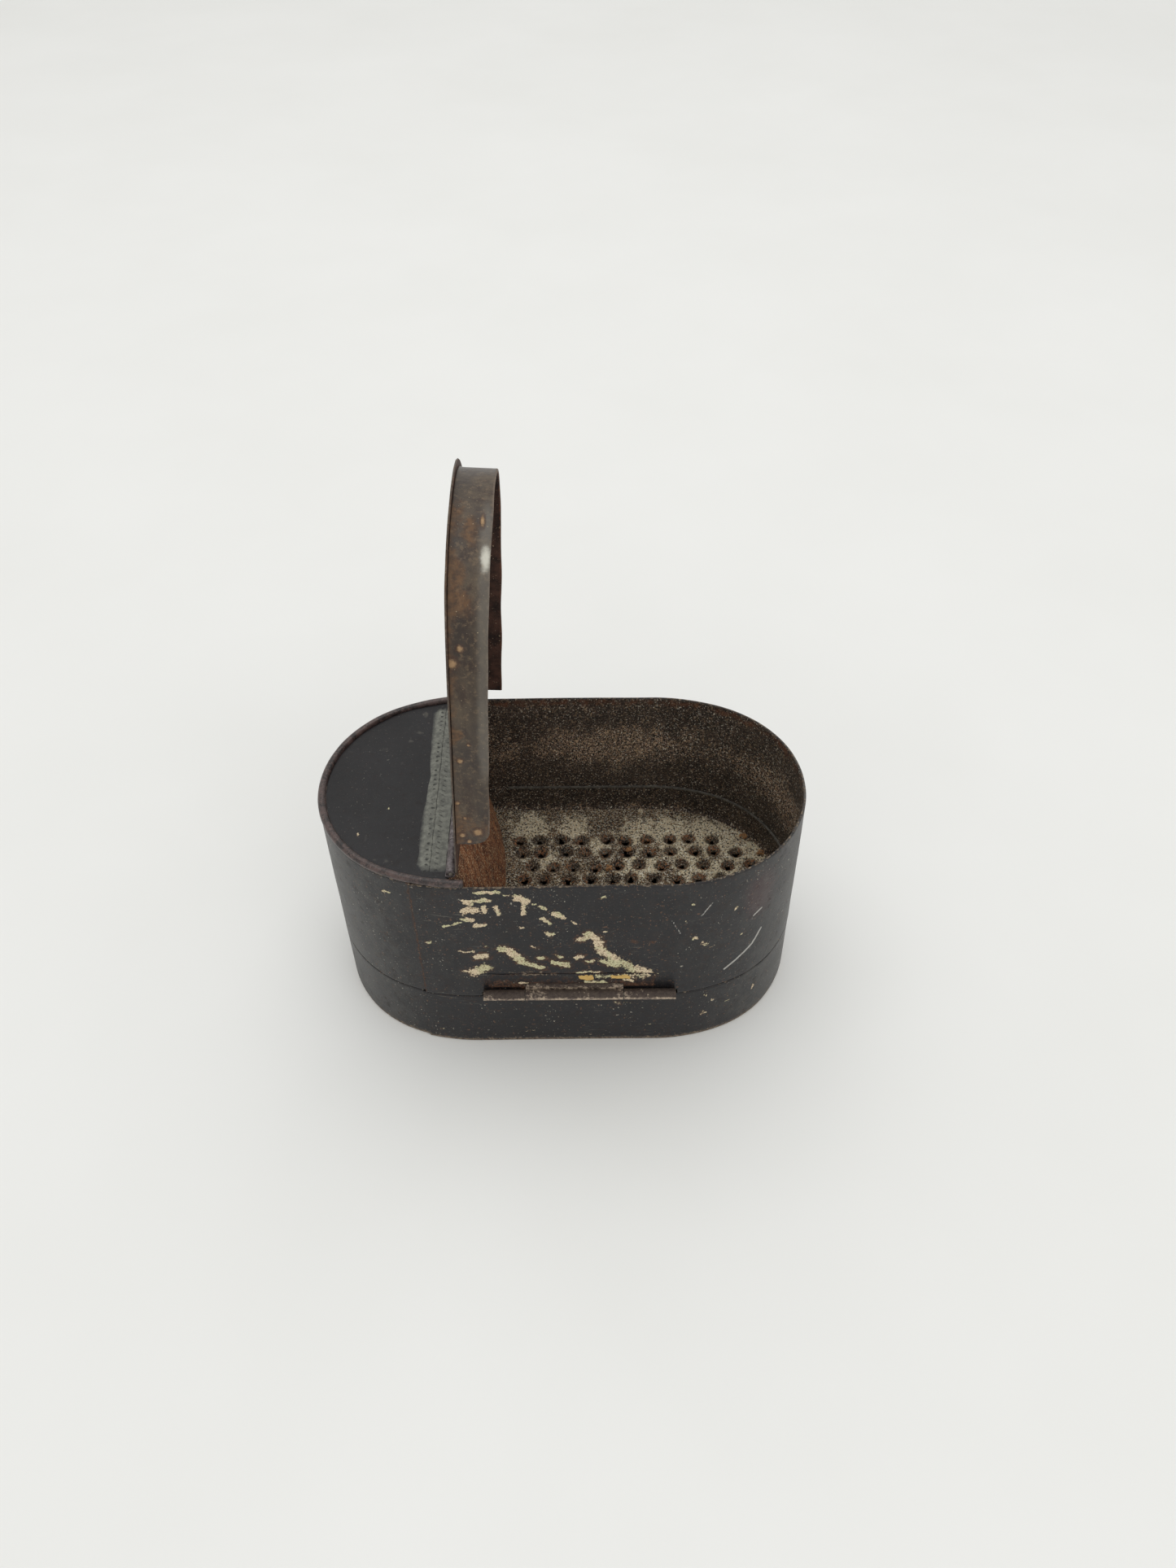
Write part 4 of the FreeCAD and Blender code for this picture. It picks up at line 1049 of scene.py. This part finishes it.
def grater_plate():
    """The rasp plate: a dented sheet whose holes are torn through downwards."""
    step = 0.27
    xs = np.arange(-14.0, HALF_LENGTH, step)
    ys = np.arange(-HALF_WIDTH, HALF_WIDTH, step)
    x, y = [grid.copy() for grid in np.meshgrid(xs, ys, indexing="ij")]
    drop, dent, ring = [np.zeros_like(x) for _ in range(3)]
    open_hole = np.zeros(x.shape, bool)
    for k, (px, py, radius) in enumerate(punched_places()):
        dx, dy = x - px, y - py
        away = np.hypot(dx, dy)
        angle = np.arctan2(dy, dx)
        torn = radius * (1 + 0.22 * np.sin(3 * angle + k) + 0.12 * np.sin(5 * angle + 2 * k))
        rim = (np.abs(away - torn) < step * 0.55) & (away > 1e-6)
        x[rim] = px + (dx * torn / np.maximum(away, 1e-6))[rim]
        y[rim] = py + (dy * torn / np.maximum(away, 1e-6))[rim]
        open_hole |= away < torn - step * 0.55
        pit = 0.95 * np.exp(-(away / 0.98) ** 2.6) - 0.16 * near(away, 1.6, 0.3)
        drop = np.where(np.abs(pit) > np.abs(drop), pit, drop)
        # Where the painted shade of each dent lies
        dent = np.maximum(dent, np.clip(1.8 - away / 0.9, 0, 1))
        ring = np.maximum(ring, near(away, 1.6, 0.4))
    z = PLATE_TOP + 0.09 * ripple(np.stack([x, y, 0 * x], axis=-1), 7.0, 1.0) - drop
    keep = inside_plan(x, y, WALL + 0.15) & (x > plate_left(y)) & ~open_hole
    heaps = spot_mark(x, y, DUST_HEAPS)
    pale = np.clip(0.26 + 0.3 * ring * (0.4 + heaps) + 0.8 * heaps, 0, 1)
    return sheet_of(x, y, z, keep, {"dent": dent, "pale": pale})


def sheet_of(x, y, z, keep, marks):
    """A sheet over the kept part of a grid, with an underside and torn edges."""
    kept = keep.ravel()
    faces = [face for face in grid_faces(*x.shape, False, False) if all(kept[k] for k in face)]
    used = sorted({k for face in faces for k in face})
    new = {old: k for k, old in enumerate(used)}
    top = np.stack([x.ravel(), y.ravel(), z.ravel()], axis=-1)[used]
    below = top - np.array([0, 0, SHEET * 0.8])
    count = len(used)
    upper = [tuple(new[k] for k in face) for face in faces]
    lower = [tuple(count + k for k in face[::-1]) for face in upper]
    edges = {}
    for face in upper:
        for edge in zip(face, face[1:] + face[:1]):
            edges[edge] = True
    skirt = [(b, a, count + a, count + b) for a, b in edges if (b, a) not in edges]
    doubled = {name: np.tile(values.ravel()[used], 2) for name, values in marks.items()}
    return mesh_piece("rasp_sheet", np.vstack([top, below]), upper + lower + skirt, doubled, None, 50)


def plate_flange():
    """The plate's turned-up edge against the wall, bent round at its foot."""
    left = -9.5
    along = np.linspace(PLAN.where(left) - PLAN.length, PLAN.where(left, back=True), 260)
    depth, height, nudge = rounded_loop(14, 0.18)
    low = PLATE_TOP - 0.2
    z = low + (FLANGE_TOP - low) * height[None, :] + nudge[None, :] + 0 * along[:, None]
    bend = 0.7 * np.exp(-(z - low) / 0.4)
    loops = around(PLAN, along, -WALL - depth[None, :] - bend, z)
    marks = {"dust": np.clip(0.55 - (z - low) / 5, 0, 1), "rust": 0.5 * near(z, FLANGE_TOP, 0.3)}
    return swept_piece("rasp_edge", loops, False, marks)


# Lumps of warm crumbs: x, y and spread
LUMPS = ((6.8, 4.8, 0.45), (28.7, 11.6, 0.8), (10.0, 8.7, 0.35), (31.3, 7.9, 0.5), (2.4, 0.8, 0.5))
CRUMBS_A_LUMP = 34
LOOSE_CRUMBS = 900


def crumbs():
    """Grated spice that has stuck in lumps and lies loose all over the plate."""
    chance = random.Random(11)
    points, faces, indices = [], [], []
    corners = [(1, 0, 0), (-1, 0, 0), (0, 1, 0), (0, -1, 0), (0, 0, 1), (0, 0, -1)]
    sides = [(0, 2, 4), (2, 1, 4), (1, 3, 4), (3, 0, 4), (2, 0, 5), (1, 2, 5), (3, 1, 5), (0, 3, 5)]
    warm = 2
    spots = [(x, y, spread, warm) for x, y, spread in LUMPS for _ in range(CRUMBS_A_LUMP)]
    spots += [(12.5, 0.0, 30.0, None)] * LOOSE_CRUMBS
    for middle_x, middle_y, spread, kind in spots:
        x = middle_x + spread * chance.uniform(-1, 1)
        y = middle_y + min(spread, 18) * chance.uniform(-1, 1)
        if x < plate_left(y) + 1.4 or not inside_plan(x, y, 1.2):
            continue
        size = chance.uniform(0.07, 0.18) * (1.5 if kind else 1.0)
        rest = PLATE_TOP + 0.06 + size * 0.5 + (chance.uniform(0, 0.4) if kind else 0.0)
        start = len(points)
        for cx, cy, cz in corners:
            stretch = size * chance.uniform(0.6, 1.2)
            points.append((x + cx * stretch, y + cy * stretch, rest + cz * stretch * 0.7))
        faces += [tuple(start + k for k in side) for side in sides]
        indices += [kind or chance.choice((0, 0, 0, 1, 1, 2))] * len(sides)
    return mesh_piece("spice_crumbs", points, faces, None, indices, 180)


# Lid

def lid_edge():
    """The lid's outline: cut back beside the rolled rim, and straight along the hinge."""
    notch_x = -STRAIGHT_HALF + 0.4
    notch_y = 17.6
    straight_x = LID_AXIS[0] + HINGE_EDGE_GAP
    # On the straight front side, the distance along the outline is x
    curve = half_outline(LID_PLAN, 0.28, notch_x, LID_PLAN.where(notch_x, back=True), 190)
    curve[0, 0] = curve[-1, 0] = notch_x
    step_back = [(notch_x, notch_y), (straight_x, notch_y)]
    straight = np.column_stack([np.full(38, straight_x), np.linspace(notch_y, -notch_y, 40)[1:-1]])
    step_front = [(straight_x, -notch_y), (notch_x, -notch_y)]
    return np.vstack([curve, step_back, straight, step_front])


def lid_sway(x):
    """The lid is a little bent: it stands proud near its tip."""
    return 0.42 * near(x, 32.0, 10.0)


def lid_plate():
    def lift(points):
        swell = 0.08 * ripple(points, 12.0, 6.1) + 0.02 * ripple(points, 3.0, 2.9)
        return np.maximum(lid_sway(points[..., 0]) + swell, 0.02)

    def marks(loops):
        x, y = loops[..., 0], loops[..., 1]
        edge = 1 - inside_plan(x, y, 0.8).astype(float)
        return {"wear": 0.45 * edge, "rust": 0.45 * near(x, 30.0, 10.0) + 0.15 * edge}

    piece = disc_piece("lid_sheet", lid_edge(), CASE_TOP, CASE_TOP + 0.22, lift, marks, 1)
    return dress(swing_open(piece), [LID, LINING], "lid_brown", "lid", "lid_plate")


# Blisters on the lid's band: place along the lid, height, size
BLISTERS = [
    ((-5.2, 34.3), 0.75), ((-5.8, 36.3), 0.5), ((22.1, 36.8), 0.7), ((23.9, 35.9), 0.45), ((7.7, 36.3), 0.45),
    ((0.2, 36.8), 0.4), ((34.0, 33.8), 0.3), ((-7.0, 35.4), 0.4), ((10.5, 35.2), 0.25), ((-2.6, 35.9), 0.3),
]
# Rust stains on the lid's band, in the same way
RUST_SPOTS = [
    ((30.2, 36.3), 1.3), ((28.0, 35.8), 1.4), ((34.2, 36.2), 1.0), ((33.0, 35.0), 1.0), ((12.0, 36.4), 0.9),
]


def lid_skirt():
    """The band that plugs into the case. It is cut short, with a rounded corner, at the front."""
    start = SKIRT_FRONT_START
    end = SKIRT_PLAN.where(SKIRT_BACK_START, back=True)
    fine = start + np.linspace(0, SKIRT_CORNER, 12)
    along = np.concatenate([fine[:-1], np.arange(start + SKIRT_CORNER, end, 0.33)])
    x, y = SKIRT_PLAN.at(along)[:2]
    steps = 26
    depth, height, nudge = rounded_loop(steps, SHEET)
    into = np.clip(SKIRT_CORNER - (along - start), 0, SKIRT_CORNER)
    low = CASE_TOP - SKIRT_DEPTH + SKIRT_CORNER - np.sqrt(SKIRT_CORNER ** 2 - into ** 2)
    low = low + 0.12 * ripple(np.stack([x, y, 0 * x], axis=-1), 6.0, 4.0) * (into == 0)
    low = low[:, None]
    z = low + (CASE_TOP - low) * height[None, :] + nudge[None, :]
    places = around(SKIRT_PLAN, along, 0 * z, z)
    blisters = spot_mark(places[..., 0], z, BLISTERS) * (y < 0)[:, None]
    out = -0.7 - depth[None, :] + 0.05 * ripple(places, 7.0, 1.1)
    out = out + (0.12 * blisters + 0.1 * near(z, CASE_TOP, 0.3)) * (depth[None, :] < 0.1)
    sway = lid_sway(x)[:, None] * (z - low) / SKIRT_DEPTH
    loops = around(SKIRT_PLAN, along, out, z + sway)
    marks = skirt_marks(loops[..., 0], z, np.clip((1 - y) / 6, 0, 1)[:, None])
    marks["blister"] = blisters
    piece = swept_piece("lid_band", loops, False, marks, inner_face(steps))
    return dress(swing_open(piece), [LID, LINING], "lid_brown", "lid", "lid_skirt")


def skirt_marks(x, z, front):
    """Where the band is rusty and worn, and where a highlight along its free edge and a glint near its tip
    are painted. front is 1 on the front side of the lid.
    """
    foot = CASE_TOP - SKIRT_DEPTH
    stain = 1.1 * spot_mark(x, z, RUST_SPOTS) + 0.6 * near(x, -4.5, 3.5)
    speckle = 0.3 * near(x, 20.0, 5.0) + 0.55 * near(z, CASE_TOP, 0.9)
    return {
        "rust": np.clip(stain + speckle, 0, 1) * front,
        "wear": 0.62 * near(z, foot, 0.3),
        # A painted highlight along the free edge, and a painted glint near the tip
        "hem_highlight": near(z, foot + 0.5, 0.9) * front * np.clip(x / 8, 0, 1),
        "glint": near(x, 31.3, 1.0) * near(z, foot + 0.5, 0.6) * front,
    }


def lid_bead():
    """Solder run along the corner inside the band."""
    along = np.linspace(-6.0, SKIRT_PLAN.where(-12.0, back=True), 200)
    inward = np.array([1.0, 1.5, 1.15, 1.0])
    down = np.array([0.0, 0.0, 0.2, 0.55])
    z = CASE_TOP + lid_sway(SKIRT_PLAN.at(along)[0])[:, None] - down
    loops = around(SKIRT_PLAN, along, -inward, z)
    loops[..., 2] += 0.03 * ripple(loops, 1.5, 2.7)
    piece = swept_piece("lid_bead", loops, False, {"dirt": np.full(z.shape, 0.45)})
    return dress(swing_open(piece), [SOLDER], "solder", "lid", "lid_skirt_solder")


def finish_cad_nodes():
    """Pieces whose CAD shape is right keep it, and take a better material."""
    finishes = {
        "tray_bottom": JAPAN, "tray_solder": SOLDER, "base_hinge_pin": WIRE, "cover_solder": SOLDER,
        "lid_hinge_pin": WIRE, "partition_solder": SOLDER, "grater_solder": SOLDER,
    }
    for node, material in finishes.items():
        for slot in frame["nodes"][node].material_slots:
            slot.material = material


# Studio

def floor_finish():
    f = Finish("paper_floor")
    f.colour = f.blend(f.grain(60.0, 3.0), tone(236, 237, 236), tone(229, 230, 228))
    return f.finished(0.8)


def studio():
    """A pale floor in a pale surround, with soft light from above. Sizes are in metres."""
    half = 3.0
    corners = [(-half, -half, 0), (half, -half, 0), (half, half, 0), (-half, half, 0)]
    mesh = bpy.data.meshes.new("floor")
    mesh.from_pydata(corners, [], [(0, 1, 2, 3)])
    floor = bpy.data.objects.new("floor", mesh)
    mesh.materials.append(floor_finish())
    bpy.context.scene.collection.objects.link(floor)
    world = bpy.data.worlds.new("studio")
    bpy.context.scene.world = world
    world.use_nodes = True
    background = world.node_tree.nodes["Background"]
    background.inputs["Color"].default_value = tone(242, 241, 238)
    background.inputs["Strength"].default_value = 0.86
    lamp("key", (-0.05, 0.15, 0.8), 0.9, 2.0)
    lamp("fill", (0.3, -0.5, 0.6), 0.6, 0.6)
    bpy.context.scene.view_settings.view_transform = "Standard"


def lamp(name, place, size, power):
    """A round soft lamp that points at the object."""
    data = bpy.data.lights.new(name, "AREA")
    data.shape = "DISK"
    data.size = size
    data.energy = power
    made = bpy.data.objects.new(name, data)
    made.location = place
    made.rotation_mode = "QUATERNION"
    made.rotation_quaternion = (Vector((0, 0, 0.02)) - Vector(place)).to_track_quat("-Z", "Y")
    bpy.context.scene.collection.objects.link(made)


def camera():
    """The photograph's viewpoint: close, from the front and well above."""
    data = bpy.data.cameras.new("camera")
    data.lens = 29.75
    data.sensor_width = 36.0
    data.clip_start = 0.005
    data.dof.use_dof = False
    made = bpy.data.objects.new("camera", data)
    made.location = (0.00469, -0.12959, 0.17196)
    tilt, pan, roll = math.radians(46.05), math.radians(0.46), math.radians(-0.88)
    lean = Matrix.Rotation(math.pi / 2 - tilt, 4, "X")
    aim = Matrix.Rotation(pan, 4, "Z") @ lean @ Matrix.Rotation(roll, 4, "Z")
    made.rotation_mode = "QUATERNION"
    made.rotation_quaternion = aim.to_quaternion()
    bpy.context.scene.collection.objects.link(made)
    bpy.context.scene.camera = made


def build():
    case_wall()
    tray_wall()
    fixed_cover()
    cover_rim()
    cover_hinge()
    lid_hinge()
    base_hinge()
    partition()
    dress(grater_plate(), [RASP], "rasp_sheet", "case", "grater_plate")
    dress(plate_flange(), [INSIDE], "rasp_sheet", "case")
    dress(crumbs(), CRUMBS, "rasp_sheet", "case")
    lid_plate()
    lid_skirt()
    lid_bead()
    finish_cad_nodes()


build()
studio()
camera()
